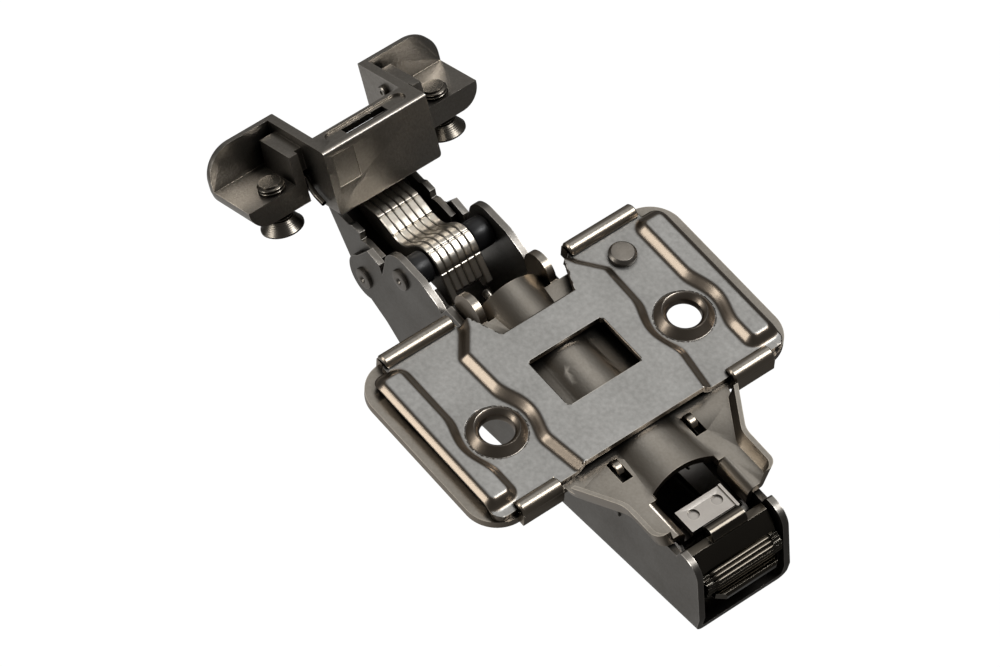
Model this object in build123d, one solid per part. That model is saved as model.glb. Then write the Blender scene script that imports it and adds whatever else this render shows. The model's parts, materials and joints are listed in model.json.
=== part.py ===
"""Concealed hinge for a narrow framed door: clip-on arm, four-bar links, die-cast door block.

Millimetres. The origin is midway between the two plate screw holes on the cabinet face.
+X runs along the arm from the door to the release lever, +Y along the hinge pins,
+Z out of the plate into the cabinet side.
"""
import math
import os

from build123d import *

RUN = 0.05                                    # radial running clearance of every pivot

# fixed plate against the cabinet
BASE_T = 0.95
BASE_HALF_Y, BASE_CORNER_R = 24.6, 1.5
BASE_X = (-16.4, 11.3)
BASE_TAB_X = -17.6                            # front edge where the folded guides hold it
EMBOSS = 1.28                                 # the flat field lies this far under the cabinet face
SCREW_SPACING, SCREW_HOLE_R = 32.0, 2.4
EYELET_TOP_R, EYELET_FOOT_R = 3.0, 4.17
MIDDLE_TOP = ((-21.6, 6.2), (-15.1, 9.2), (-11.8, 11.8), (4.5, 11.3), (16.4, 9.6))   # x, half width
MIDDLE_FOOT_GROW = 1.1
RIB_TOP_Y, RIB_FOOT_Y = (20.7, 23.9), (19.3, 24.5)
RIB_TOP_X, RIB_FOOT_X = (-15.0, 8.9), (-16.0, 10.0)
SCOOP_R, SCOOP_BLEND = 5.85, 2.4              # flat field kept round each eyelet
WINDOW_X, WINDOW_HALF_Y, WINDOW_R = (-5.9, 3.0), 6.3, 0.6
NOTCH = ((-18.6, 9.2), (-15.1, 7.7), (-11.5, 6.24))

# sliding plate
CARRIER_T, CARRIER_TOP_Z = 1.2, -2.3
CARRIER_LOW_Z = CARRIER_TOP_Z - CARRIER_T
CARRIER_X, CARRIER_HALF_Y, CARRIER_CORNER_R = (-18.6, 11.9), 26.4, 5.0
CARRIER_BAY_DEPTH = 3.2                       # front bay between the two front guides
GUIDE_FRONT = (10.0, 21.5, -19.1, -16.45)      # y from, y to, outer x, lip x
GUIDE_REAR = (14.6, 21.4, 12.75, 10.2)
GUIDE_TOP_Z, GUIDE_T, GUIDE_BEND_R = -0.1, 0.95, 0.8
SADDLE = ((-18.0, -0.5, 6.6, 6.0), (-11.0, -1.3, 7.0, 5.6), (21.5, -1.25, 16.0, 5.3))
# ... each a section: x, crown height, crown radius, half width
EAR_CENTRE, EAR_R, EAR_T, EAR_GAP = (-18.4, -2.9), 2.85, 1.13, 0.27
EAR_STEM, EAR_STEM_LOW_Z = 2.0, -7.3
TAIL_LOW = ((9.0, 13.6), (13.0, 13.2), (19.8, 9.1), (26.6, 9.1))    # x, half width at the underside
TAIL_RIM = ((9.0, 14.9), (13.0, 14.5), (19.8, 10.4), (26.6, 10.3))
TAIL_WAIST_R, TAIL_CORNER_R, TAIL_RIM_Z, TAIL_T, TAIL_FOOT_IN = 3.5, 1.6, -0.1, 0.7, 0.15
TAIL_FLANGE_X = 13.4                          # the tail's flanges start here
BAY_X, BAY_R, PRONG_IN_Y = 18.7, 16.0, 5.2
PRONG_LEG_T, PRONG_DROP, PRONG_ROLL_R, PRONG_ROLL_Y = 0.95, 1.6, 1.5, 2.0
LANCE_X, LANCE_Y = (12.2, 15.8), (5.4, 7.2)

# height cam: a stud riveted in the fixed plate, its eccentric disc in a slot of the sliding plate
HEIGHT_XY = (-12.8, 15.6)
HEIGHT_STUD_R, HEIGHT_HEAD_R, HEIGHT_HEAD_H = 1.3, 2.0, 1.0
HEIGHT_DISC_R, HEIGHT_THROW, HEIGHT_GAP = 2.8, 1.6, 0.16
HEIGHT_KNOB_R, HEIGHT_KNOB_H = 4.6, 1.6

# arm
ARM_HALF_Y, ARM_T, ARM_BEND_R = 7.8, 1.0, 1.5
ARM_IN_Y = ARM_HALF_Y - ARM_T
ARM_WEB_X, ARM_WEB_Z, ARM_WEB_SLOPE = (-34.0, 33.2), -16.4, 0.134
ARM_REAR, ARM_TOP = ((32.15, -3.0), 3.0), ((28.6, -2.9), 0.5)      # upper rear corners, with radii
PIN_OUTER, PIN_INNER = (-39.1, -16.3), (-31.2, -8.05)
LOBE_OUTER_R, LOBE_INNER_R = 3.6, 3.8
ARM_PIN_R, ARM_HEAD_R, ARM_HEAD_H = 1.25, 1.65, 0.5
TILT_AXIS, TILT_STUB_R = (14.6, -9.6), 1.0

# outer link
OUTER_HALF_Y, OUTER_T = ARM_IN_Y - 0.2, 1.0

# clip-on frame inside the arm
FRAME_GAP, FRAME_T, FRAME_TOP_Z, FRAME_LOW_Z = 0.8, 1.0, -4.75, -14.0
FRAME_HALF_Y = ARM_IN_Y - FRAME_GAP
FRAME_PIN_PROUD = 0.4
FRAME_X = (-12.0, 28.9)
FRAME_WEB_END_X = 16.5
LEAF_X, LEAF_HALF_Y, LEAF_TOP_Z = (22.75, 26.5), 3.85, -4.0
DIMPLE_AT, DIMPLE_R, DIMPLE_DEPTH = (24.4, 2.0), 0.85, 0.35
LEAF_BAR_X, LEAF_BAR_Z, LEAF_NECK_HALF_Y = (24.2, 26.0), (-7.4, -6.1), 3.0
HOOK_AT, HOOK_R = (-18.0, -8.75), 1.0
SIDE_SCREW_X, SIDE_SCREW_R, SIDE_HEAD_R = -8.0, 2.0, 2.9
DEPTH_X, DEPTH_THROW, DEPTH_PIN_R, DEPTH_BODY_R, DEPTH_HEAD_R = 7.5, 1.5, 1.2, 3.0, 3.6
DEPTH_GAP, DEPTH_PIN_TOP_Z = 0.18, -2.0

# release lever
LEVER_PIN_AT, LEVER_PIN_R = (27.4, -9.6), 1.0
LEVER_HALF_Y = FRAME_HALF_Y - FRAME_T - 0.2
LEVER_FACE_HALF_Y = ARM_IN_Y - 0.5
LEVER_ROLL_AT, LEVER_ROLL_R, LEVER_ROLL_HALF_Y = (28.4, -3.35), 1.3, 2.9
LEVER_RIDGES, RIDGE_HALF = ((31.9, -6.6), (32.5, -6.75), (33.0, -7.15), (33.15, -7.85), (33.15, -8.55)), 0.28
LIP_HALF_Y, LIP_CHAMFER = LEVER_FACE_HALF_Y - 1.0, 1.1

# door block, in its own frame: e towards the mouth, y along the pins, d into the door
BLOCK_ORIGIN, BLOCK_TURN = (-47.94, 3.19), 24.24
HOOD_D, HOOD_E, HOOD_SIDE_T, HOOD_FRONT_T, HOOD_ROOF = 10.7, -4.6, 1.85, 1.0, 1.3
HOOD_FRONT_R, HOOD_CORNER_R, HOOD_TOE = 0.5, 1.0, 0.7
HOOD_RELIEF_E, HOOD_RELIEF_D = 0.4, 0.6       # bevel inside the front wall's foot, clear of the link
HOOD_IN_Y = OUTER_HALF_Y + 0.3
HOOD_HALF_Y = HOOD_IN_Y + HOOD_SIDE_T
WING_IN_Y = HOOD_IN_Y + 0.5
WING_OUT_Y, WING_E, WING_BACK_T, WING_TOP_R, WING_BACK_R = 19.7, -15.2, 1.4, 4.6, 0.7
WING_D = 8.9
SHELF_D, SHELF_E, SHELF_CORNER_R = (5.9, 9.3), -5.1, 3.2
BOSS_Y, BOSS_E, BOSS_TOP_D, BOSS_DRAFT = (HOOD_HALF_Y - 0.2, 11.5), (-12.8, -5.1), 1.4, 0.2
PIN_POCKET_E, PIN_POCKET_Y, PIN_POCKET_D, PIN_SLOT_E = -9.0, HOOD_HALF_Y + 1.2, 5.0, -6.2
PILL_AT, PILL_LENGTH, PILL_WIDTH, PILL_DEPTH = (-2.6, 0.25), 13.4, 2.7, 0.35
SLOT_E, SLOT_HALF_Y = (-3.35, -1.15), 3.5
DOOR_SCREW_E, DOOR_SCREW_Y = -7.5, 14.06
DOOR_SCREW_R, DOOR_HEAD_R, DOOR_TIP_D, DOOR_NECK_D, DOOR_RIM_D, DOOR_RIM_T = 1.95, 3.1, 4.6, 10.3, 11.9, 0.35
BLOCK_PIN_OUTER, BLOCK_PIN_INNER = (-7.2, 7.25), (-4.2, 8.4)
BLOCK_PIN_R, LINK_END_PIN_R = 1.0, 0.85
BLOCK_PIN_HEAD_R, BLOCK_PIN_HEAD_H, BLOCK_PIN_BORE_R = 1.4, 0.9, 0.75

# inner link
PLATES, PLATE_PITCH, PLATE_GAP, LINK_HUMP_R = 6, 7.0 / 6, 0.05, 2.85
BUSH_R, BUSH_Y = 2.35, (PLATES * PLATE_PITCH / 2 + 0.15, ARM_IN_Y - 0.1)

# closing spring
SPRING_AT, SPRING_COIL_R, SPRING_WIRE_R, SPRING_PIN_R = (-21.5, -17.2), 2.7, 0.5, 1.6
SPRING_TURNS, SPRING_PITCH, SPRING_STEPS = 2.25, 1.06, 12
SPRING_EYE, SPRING_EYE_Y, SPRING_TIP_R = (-26.4, -13.9), 3.03, 0.75


# ---------------------------------------------------------------- helpers
def block_point(e, d):
    """World (x, z) of a point given in the door block's own frame."""
    t = math.radians(BLOCK_TURN)
    return (BLOCK_ORIGIN[0] + e * math.cos(t) + d * math.sin(t),
            BLOCK_ORIGIN[1] + e * math.sin(t) - d * math.cos(t))


def to_world(shape):
    """Carry a door-block shape (x = e, z = -d) to its place on the hinge."""
    return Pos(BLOCK_ORIGIN[0], 0, BLOCK_ORIGIN[1]) * Rot(0, -BLOCK_TURN, 0) * shape


def box(x, y, z):
    """Box between three pairs of limits."""
    mid = [(a + b) / 2 for a, b in (x, y, z)]
    return Pos(*mid) * Box(*(abs(b - a) for a, b in (x, y, z)))


def mirrored_face(half):
    """Face in the XY plane from one half of its outline, mirrored about the X axis."""
    corners = list(half) + [(x, -y) for x, y in reversed(half)]
    return make_face(Polyline([(x, y, 0) for x, y in corners], close=True))


def side_face(points):
    """Face in the XZ plane from (x, z) corners."""
    return make_face(Polyline([(x, 0, z) for x, z in points], close=True))


def across(face, y0, y1):
    """Sweep an XZ face along Y between two limits."""
    return Pos(0, y0, 0) * extrude(face, y1 - y0, dir=(0, 1, 0))


def rod_y(xz, r, y0, y1):
    """Round bar along Y."""
    return Pos(xz[0], (y0 + y1) / 2, xz[1]) * Rot(90, 0, 0) * Cylinder(r, abs(y1 - y0))


def rod_z(xy, r, z0, z1):
    """Round bar along Z."""
    return Pos(xy[0], xy[1], (z0 + z1) / 2) * Cylinder(r, abs(z1 - z0))


def both(shape):
    """A shape together with its mirror image across the middle plane."""
    return shape + mirror(shape, Plane.XZ)


def cross_recess(xy, z0, z1, width, length):
    """Cross-shaped driver recess along Z."""
    return (box((xy[0] - length / 2, xy[0] + length / 2), (xy[1] - width / 2, xy[1] + width / 2), (z0, z1))
            + box((xy[0] - width / 2, xy[0] + width / 2), (xy[1] - length / 2, xy[1] + length / 2), (z0, z1)))


# ---------------------------------------------------------------- fixed plate
def middle_outline(grow, scoop_r):
    """Plan of the raised middle band, waisted round the eyelets."""
    half = [(x, y + grow) for x, y in MIDDLE_TOP]
    band = mirrored_face(half)
    for s in (-1, 1):
        band -= Pos(0, s * SCREW_SPACING / 2) * Circle(scoop_r)
    waist = band.vertices().filter_by(
        lambda v: abs(v.X) < SCOOP_R and abs(abs(v.Y) - SCREW_SPACING / 2) < scoop_r)
    return fillet(waist, SCOOP_BLEND)


def rib_outline(y, x, scoop_r, side):
    """Plan of an outer rib, scooped round its eyelet."""
    rib = Pos(sum(x) / 2, side * sum(y) / 2) * Rectangle(x[1] - x[0], y[1] - y[0])
    rib -= Pos(0, side * SCREW_SPACING / 2) * Circle(scoop_r)
    scoop = rib.vertices().filter_by(lambda v: abs(v.X) < SCOOP_R)
    return fillet(scoop, SCOOP_BLEND)


def embosses():
    """Top and foot outlines of every raised area of the fixed plate."""
    pairs = [(middle_outline(0, SCOOP_R), middle_outline(MIDDLE_FOOT_GROW, SCOOP_R - MIDDLE_FOOT_GROW))]
    for s in (-1, 1):
        pairs.append((rib_outline(RIB_TOP_Y, RIB_TOP_X, SCOOP_R, s),
                      rib_outline(RIB_FOOT_Y, RIB_FOOT_X, SCOOP_R - MIDDLE_FOOT_GROW, s)))
        eye = Pos(0, s * SCREW_SPACING / 2)
        pairs.append((eye * Circle(EYELET_TOP_R), eye * Circle(EYELET_FOOT_R)))
    return pairs


def bump(top, foot, lift):
    """Sloped solid from a foot outline on the field to its top outline on the cabinet face."""
    return loft([Pos(0, 0, lift - EMBOSS) * foot, Pos(0, 0, lift) * top])


def base_plan():
    """Plan of the fixed plate with its window and front notch."""
    plan = Pos(sum(BASE_X) / 2, 0) * RectangleRounded(BASE_X[1] - BASE_X[0], 2 * BASE_HALF_Y, BASE_CORNER_R)
    y0, y1 = GUIDE_FRONT[0] - 0.3, GUIDE_FRONT[1] + 0.3
    for s in (-1, 1):
        tab = Rectangle(BASE_X[0] + 1 - BASE_TAB_X, y1 - y0)
        plan += Pos((BASE_TAB_X + BASE_X[0] + 1) / 2, s * (y0 + y1) / 2) * tab
    plan -= mirrored_face(NOTCH)
    window = RectangleRounded(WINDOW_X[1] - WINDOW_X[0], 2 * WINDOW_HALF_Y, WINDOW_R)
    plan -= Pos(sum(WINDOW_X) / 2, 0) * window
    return plan


def base_plate():
    """The fixed sheet: flat field, raised middle, two outer ribs and two eyelets."""
    low = -EMBOSS - BASE_T
    plan = base_plan()
    envelope = Pos(0, 0, low) * extrude(plan, EMBOSS + BASE_T)
    sheet = Pos(0, 0, low) * extrude(plan, BASE_T)
    pairs = embosses()
    for top, foot in pairs:
        sheet += bump(top, foot, 0) & envelope
    for top, foot in pairs:
        sheet -= bump(top, foot, -BASE_T)
    for s in (-1, 1):
        sheet -= rod_z((0, s * SCREW_SPACING / 2), SCREW_HOLE_R, low - 1, 1)
    return sheet - rod_z(HEIGHT_XY, HEIGHT_STUD_R + RUN, low - 1, 1)


# ---------------------------------------------------------------- sliding plate
def saddle_section(x, top_z, crown_r, half_y, grow):
    """Slice of the saddle at x: a circular arch on straight flanks."""
    crown, half, r = top_z + grow, half_y + grow, crown_r + grow
    spring_z = crown - (r - math.sqrt(r * r - half * half))
    foot = min(CARRIER_LOW_Z, spring_z - 0.2) + 2 * grow
    arch = ThreePointArc((x, -half, spring_z), (x, 0, crown), (x, half, spring_z))
    flanks = Polyline([(x, half, spring_z), (x, half, foot), (x, -half, foot), (x, -half, spring_z)])
    return make_face([arch, flanks])


def saddle(grow):
    """Arch over the clip-on frame: raised and tight at the front, flattening to the rear."""
    front, knee, rear = [saddle_section(*section, grow) for section in SADDLE]
    return loft([front, knee]) + loft([knee, rear])


def tail_outline(points, z):
    """Plan of the sliding plate's tail at height z, its waist and far corners rounded."""
    pts = [(x, y, z) for x, y in points] + [(x, -y, z) for x, y in reversed(points)]
    face = make_face(Polyline(pts, close=True))
    waist = face.vertices().filter_by(lambda v: points[0][0] + 1 < v.X < points[-1][0] - 1)
    face = fillet(waist, TAIL_WAIST_R)
    return fillet(face.vertices().filter_by(lambda v: v.X > points[-1][0] - 0.1), TAIL_CORNER_R)


def tray(foot_in, rim_in, floor_z, rim_z):
    """Solid of the tail between its floor and rim outlines, each drawn in by its own amount."""
    return loft([tail_outline([(x, y - foot_in) for x, y in TAIL_LOW], floor_z),
                 tail_outline([(x, y - rim_in) for x, y in TAIL_RIM], rim_z)])


def guide(y0, y1, x_out, x_lip):
    """Lip of the sliding plate folded over the fixed plate's edge."""
    x_in = x_out + math.copysign(CARRIER_T, x_lip - x_out)
    lip_z = GUIDE_TOP_Z - GUIDE_T
    bar = across(side_face([(x_out, CARRIER_LOW_Z), (x_out, GUIDE_TOP_Z), (x_lip, GUIDE_TOP_Z),
                            (x_lip, lip_z), (x_in, lip_z), (x_in, CARRIER_TOP_Z),
                            (x_lip, CARRIER_TOP_Z), (x_lip, CARRIER_LOW_Z)]),
                 y0, y1)
    bend = bar.edges().filter_by(Axis.Y).sort_by(
        lambda e: abs(e.center().X - x_out) + abs(e.center().Z - GUIDE_TOP_Z))[0]
    return fillet(bend, GUIDE_BEND_R)


def tail_bay():
    """Opening at the rear of the tail, its front end an arc."""
    disc = rod_z((BAY_X + BAY_R, 0), BAY_R, -8, 2)
    run = box((BAY_X, BAY_X + BAY_R), (-PRONG_IN_Y, PRONG_IN_Y), (-8, 2))
    return disc & run


def ear():
    """Rounded ear beside the saddle's front, with a stem down to the frame's hook pin."""
    (x, z), ear_y = EAR_CENTRE, (ARM_IN_Y - EAR_GAP - EAR_T, ARM_IN_Y - EAR_GAP)
    web = box((x, CARRIER_X[0] + CARRIER_BAY_DEPTH + 1), ear_y, (CARRIER_LOW_Z, CARRIER_TOP_Z))
    return rod_y((x, z), EAR_R, *ear_y) + web + box((x - EAR_STEM, x + EAR_STEM), ear_y, (EAR_STEM_LOW_Z, z))


def prong_edge(x):
    """Inner edge of a tail prong, rolled down over the arm."""
    top = box(x, (PRONG_IN_Y, PRONG_IN_Y + PRONG_ROLL_Y), (CARRIER_LOW_Z, CARRIER_TOP_Z))
    leg = box(x, (PRONG_IN_Y, PRONG_IN_Y + PRONG_LEG_T), (CARRIER_LOW_Z - PRONG_DROP, CARRIER_TOP_Z))
    corner = (top + leg).edges().filter_by(Axis.X).sort_by(lambda e: e.center().Y - e.center().Z)[0]
    return fillet(corner, PRONG_ROLL_R)


def carrier_plate():
    """The sliding sheet: saddle, folded guides, hook ears and a waisted tail with two prongs."""
    x0, x1 = CARRIER_X
    plan = Pos((x0 + x1) / 2, 0) * RectangleRounded(x1 - x0, 2 * CARRIER_HALF_Y, CARRIER_CORNER_R)
    plan -= Pos(x0, 0) * Rectangle(2 * CARRIER_BAY_DEPTH, 2 * GUIDE_FRONT[0])
    sheet = Pos(0, 0, CARRIER_LOW_Z) * extrude(plan, CARRIER_T)
    sheet += (tray(0, 0, CARRIER_LOW_Z, TAIL_RIM_Z)
              - tray(TAIL_FOOT_IN, TAIL_T, CARRIER_TOP_Z, TAIL_RIM_Z + 0.1)
              - box((0, TAIL_FLANGE_X), (-20, 20), (CARRIER_TOP_Z, 1)))
    sheet = sheet + saddle(0) - saddle(-CARRIER_T)
    sheet -= tail_bay()
    sheet += both(guide(*GUIDE_FRONT)) + both(guide(*GUIDE_REAR))
    prong_x, roll_y = (BAY_X + 1.8, TAIL_LOW[-1][0]), PRONG_IN_Y + PRONG_ROLL_Y - 0.2
    sheet -= box(prong_x, (-roll_y, roll_y), (CARRIER_LOW_Z - 1, CARRIER_TOP_Z + 1))
    sheet += both(ear()) + both(prong_edge(prong_x))
    lance = box(LANCE_X, LANCE_Y, (CARRIER_LOW_Z - 1, CARRIER_TOP_Z + 1))
    sheet -= both(lance)
    slot_half = HEIGHT_DISC_R + HEIGHT_GAP
    slot = Pos(*HEIGHT_XY, CARRIER_LOW_Z - 1) * extrude(
        SlotOverall(2 * (slot_half + HEIGHT_THROW), 2 * slot_half), 4)
    depth_slot = Pos(DEPTH_X, DEPTH_THROW, CARRIER_LOW_Z - 3) * extrude(
        Rot(0, 0, 90) * SlotOverall(2 * (DEPTH_THROW + DEPTH_PIN_R), 2 * (DEPTH_PIN_R + DEPTH_GAP)), 6)
    return sheet - slot - depth_slot


def height_cam():
    """Stud riveted in the fixed plate with an eccentric disc and a driver head below."""
    field, low = -EMBOSS, -EMBOSS - BASE_T
    stud = rod_z(HEIGHT_XY, HEIGHT_STUD_R, low, field)
    head = Pos(*HEIGHT_XY, field + 0.03) * extrude(Circle(HEIGHT_HEAD_R), HEIGHT_HEAD_H)
    head = chamfer(head.edges().sort_by(Axis.Z)[-1], HEIGHT_HEAD_H * 0.4)
    neck = rod_z(HEIGHT_XY, HEIGHT_STUD_R, field, field + 0.1)
    off = (HEIGHT_XY[0] - HEIGHT_THROW, HEIGHT_XY[1])
    disc = rod_z(off, HEIGHT_DISC_R, CARRIER_LOW_Z - 0.1, low - 0.04)
    link = rod_z(HEIGHT_XY, HEIGHT_STUD_R, low - 0.2, low + 0.1)
    knob = rod_z(off, HEIGHT_KNOB_R, CARRIER_LOW_Z - 0.1 - HEIGHT_KNOB_H, CARRIER_LOW_Z - 0.1)
    knob -= cross_recess(off, CARRIER_LOW_Z - 3, CARRIER_LOW_Z - 0.9, 1.0, 4.6)
    return stud + head + neck + disc + link + knob


# ---------------------------------------------------------------- arm and its pins
def web_z(x):
    """Height of the arm's outer web face at x."""
    return ARM_WEB_Z - ARM_WEB_SLOPE * (ARM_WEB_X[1] - x)


def arm_side():
    """Side view of the arm without its lobes: top edge under the plates, hooked rear end."""
    return [(-42.3, -17.9), (-37.6, -19.6), (-34.0, -20.9), (-30.0, web_z(-22) + 0.6), (-18.0, web_z(-18)),
            (ARM_WEB_X[1], ARM_WEB_Z), (33.7, -13.0), (32.9, -8.0), ARM_REAR[0], ARM_TOP[0], (28.0, -4.35),
            (-21.5, -4.3), (-22.4, -6.3), (-23.6, -5.4), (-27.2, -4.3), (-31.2, -4.26), (-34.8, -6.9),
            (-35.4, -11.7), (-36.2, -10.3), (-38.9, -9.95), (-41.0, -13.2)]


def arm():
    """Folded channel: web on the far side from the plates, two walls with the pivot lobes."""
    side = side_face(arm_side())
    for (x, z), r in (ARM_REAR, ARM_TOP):
        side = fillet(side.vertices().sort_by_distance((x, 0, z))[0], r)
    blank = across(side, -ARM_HALF_Y, ARM_HALF_Y)
    for xz, r in ((PIN_OUTER, LOBE_OUTER_R), (PIN_INNER, LOBE_INNER_R)):
        blank += rod_y(xz, r, -ARM_HALF_Y, ARM_HALF_Y)
    low = [e for e in blank.edges().filter_by(GeomType.LINE)
           if abs(abs(e.center().Y) - ARM_HALF_Y) < 0.01 and abs(e.center().Z - web_z(e.center().X)) < 0.02
           and e.length > 20]
    blank = fillet(low, ARM_BEND_R)
    x0, x1 = ARM_WEB_X
    cave = [(x0 - 30, 5), (x0 - 30, -40), (x0, -40), (x0, web_z(-14) + 2.4), (-22.0, web_z(-22) + ARM_T),
            (x1 + 5, web_z(x1 + 5) + ARM_T), (x1 + 5, 5)]
    hollow = across(side_face(cave), -ARM_IN_Y, ARM_IN_Y)
    floor = hollow.edges().filter_by(
        lambda e: abs(e.center().X - 5.7) < 8 and e.center().Z < -15 and e.length > 30)
    shell = blank - fillet(floor, ARM_BEND_R - ARM_T)
    for xz in (PIN_OUTER, PIN_INNER):
        shell -= rod_y(xz, ARM_PIN_R + RUN, -10, 10)
    shell += both(rod_y(TILT_AXIS, TILT_STUB_R, FRAME_HALF_Y - FRAME_T + 0.2, ARM_HALF_Y - 0.3))
    shell -= rod_z((SIDE_SCREW_X, 0), SIDE_SCREW_R + 0.15, -30, -15)
    return shell - rod_z((DEPTH_X, 0), DEPTH_HEAD_R + 0.5, -30, -12)


def arm_pin(xz):
    """Rivet pin across the arm with a shallow head outside each wall."""
    pin = rod_y(xz, ARM_PIN_R, -ARM_HALF_Y - 0.1, ARM_HALF_Y + 0.1)
    return pin + both(rod_y(xz, ARM_HEAD_R, ARM_HALF_Y + 0.01, ARM_HALF_Y + ARM_HEAD_H))


def bush(side):
    """Black spacer between the inner link and the arm wall."""
    tube = rod_y(PIN_INNER, BUSH_R, *BUSH_Y) - rod_y(PIN_INNER, ARM_PIN_R + RUN, 0, ARM_HALF_Y)
    return tube if side > 0 else mirror(tube, Plane.XZ)


# ---------------------------------------------------------------- clip-on frame
def leaf(reach):
    """Dimpled tongue behind the frame's web, carried by a bar between the two walls."""
    plate = box(LEAF_X, (-LEAF_HALF_Y, LEAF_HALF_Y), (LEAF_TOP_Z - FRAME_T, LEAF_TOP_Z))
    plate -= both(rod_z((DIMPLE_AT[0], DIMPLE_AT[1]), DIMPLE_R, LEAF_TOP_Z - DIMPLE_DEPTH, LEAF_TOP_Z + 1))
    flange = box((LEAF_X[0], LEAF_X[1] + 0.4), (LEAF_HALF_Y - 0.4, LEAF_HALF_Y),
                 (LEAF_TOP_Z - 1.6, LEAF_TOP_Z + 0.25))
    neck = box(LEAF_BAR_X, (-LEAF_NECK_HALF_Y, LEAF_NECK_HALF_Y), (LEAF_BAR_Z[0], LEAF_TOP_Z - FRAME_T + 0.1))
    return plate + flange + neck + box(LEAF_BAR_X, (-reach - 0.2, reach + 0.2), LEAF_BAR_Z)


def inner_frame():
    """Inverted channel clipped under the sliding plate; carries the adjusters and the lever."""
    side = [(FRAME_X[0], FRAME_TOP_Z), (FRAME_WEB_END_X, FRAME_TOP_Z), (FRAME_WEB_END_X + 1, -5.5), (25.2, -6.2),
            (FRAME_X[1], -8.4), (FRAME_X[1], -11.2), (24.0, -12.6), (-10.0, FRAME_LOW_Z), (-19.2, -10.6),
            (-19.6, -7.8), (-12.6, -7.8)]
    shell = across(side_face(side), -FRAME_HALF_Y, FRAME_HALF_Y)
    in_y = FRAME_HALF_Y - FRAME_T
    shell -= box((-40, FRAME_WEB_END_X), (-in_y, in_y), (-30, FRAME_TOP_Z - FRAME_T))
    shell -= box((FRAME_WEB_END_X, 40), (-in_y, in_y), (-30, 0))
    shell += leaf(in_y)
    shell -= rod_y(HOOK_AT, HOOK_R + RUN, -9, 9)
    shell -= rod_y(TILT_AXIS, TILT_STUB_R + 0.06, -9, 9)
    shell -= rod_y(LEVER_PIN_AT, LEVER_PIN_R + 0.02, -9, 9)
    shell -= rod_z((SIDE_SCREW_X, 0), SIDE_SCREW_R + 0.15, -8, 0)
    return shell - rod_z((DEPTH_X, 0), DEPTH_BODY_R + RUN, -8, 0)


def hook_pin():
    """Cross pin that hooks under the two ears of the sliding plate."""
    reach = FRAME_HALF_Y + FRAME_PIN_PROUD
    return rod_y(HOOK_AT, HOOK_R, -reach, reach)


def side_screw():
    """Long screw from the arm's web into the frame; turning it tilts the arm."""
    at, web = (SIDE_SCREW_X, 0), web_z(SIDE_SCREW_X)
    body = rod_z(at, SIDE_SCREW_R, web - 0.8, FRAME_TOP_Z - 0.2)
    under = web + ARM_T + 0.7
    head = rod_z(at, SIDE_HEAD_R, web - 2.0, web - 0.7) + rod_z(at, SIDE_HEAD_R, under, under + 0.8)
    return body + head - cross_recess(at, web - 3, web - 1.0, 0.9, 3.8)


def depth_cam():
    """Round cam in the frame with an eccentric pin in the sliding plate's cross slot."""
    at, low = (DEPTH_X, 0), FRAME_TOP_Z - FRAME_T
    body = rod_z(at, DEPTH_BODY_R, low - 0.1, FRAME_TOP_Z + 0.1)
    head = rod_z(at, DEPTH_HEAD_R, low - 7.0, low - 0.1)
    head -= cross_recess(at, low - 8, low - 5.4, 1.0, 4.6)
    pin = rod_z((DEPTH_X, DEPTH_THROW), DEPTH_PIN_R, FRAME_TOP_Z, DEPTH_PIN_TOP_Z)
    return body + head + pin


def release_lever():
    """Pressed lever at the rear: rolled centre, two side pads, gripping ridges and a pull lip."""
    face = [(28.0, -5.6), (27.9, -4.3), (28.3, -3.9), (29.5, -3.85), (30.1, -4.4), (31.0, -5.3), (31.7, -6.75),
            (32.9, -7.15), (33.1, -9.3), (32.6, -10.3), (31.0, -10.4), (30.2, -8.0), (29.4, -5.6)]
    plate = across(side_face(face), -LEVER_FACE_HALF_Y, LEVER_FACE_HALF_Y)
    for x, z in LEVER_RIDGES:
        diamond = side_face([(x - RIDGE_HALF, z), (x, z + RIDGE_HALF),
                             (x + RIDGE_HALF, z), (x, z - RIDGE_HALF)])
        plate += across(diamond, -LEVER_FACE_HALF_Y, LEVER_FACE_HALF_Y)
    lip_side = side_face([(32.4, -9.2), (34.5, -8.5), (34.8, -8.9), (34.7, -9.7), (32.4, -10.2)])
    lip = across(lip_side, -LIP_HALF_Y, LIP_HALF_Y)
    corners = lip.edges().filter_by(
        lambda e: abs(abs(e.center().Y) - LIP_HALF_Y) < 0.01 and e.center().X > 34.7)
    lip = chamfer(corners, LIP_CHAMFER)
    roll = rod_y(LEVER_ROLL_AT, LEVER_ROLL_R, -LEVER_ROLL_HALF_Y, LEVER_ROLL_HALF_Y)
    hub = across(side_face([(25.6, -9.6), (26.2, -7.9), (28.4, -5.0), (31.5, -7.5), (33.0, -10.3), (28.0, -11.4)]),
                 -LEVER_HALF_Y, LEVER_HALF_Y)
    lever = plate + lip + roll + hub
    return lever - rod_y(LEVER_PIN_AT, LEVER_PIN_R + RUN, -9, 9)


def lever_pin():
    """Pivot pin of the release lever, held in the frame's walls."""
    reach = FRAME_HALF_Y + FRAME_PIN_PROUD
    return rod_y(LEVER_PIN_AT, LEVER_PIN_R, -reach, reach)


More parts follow.
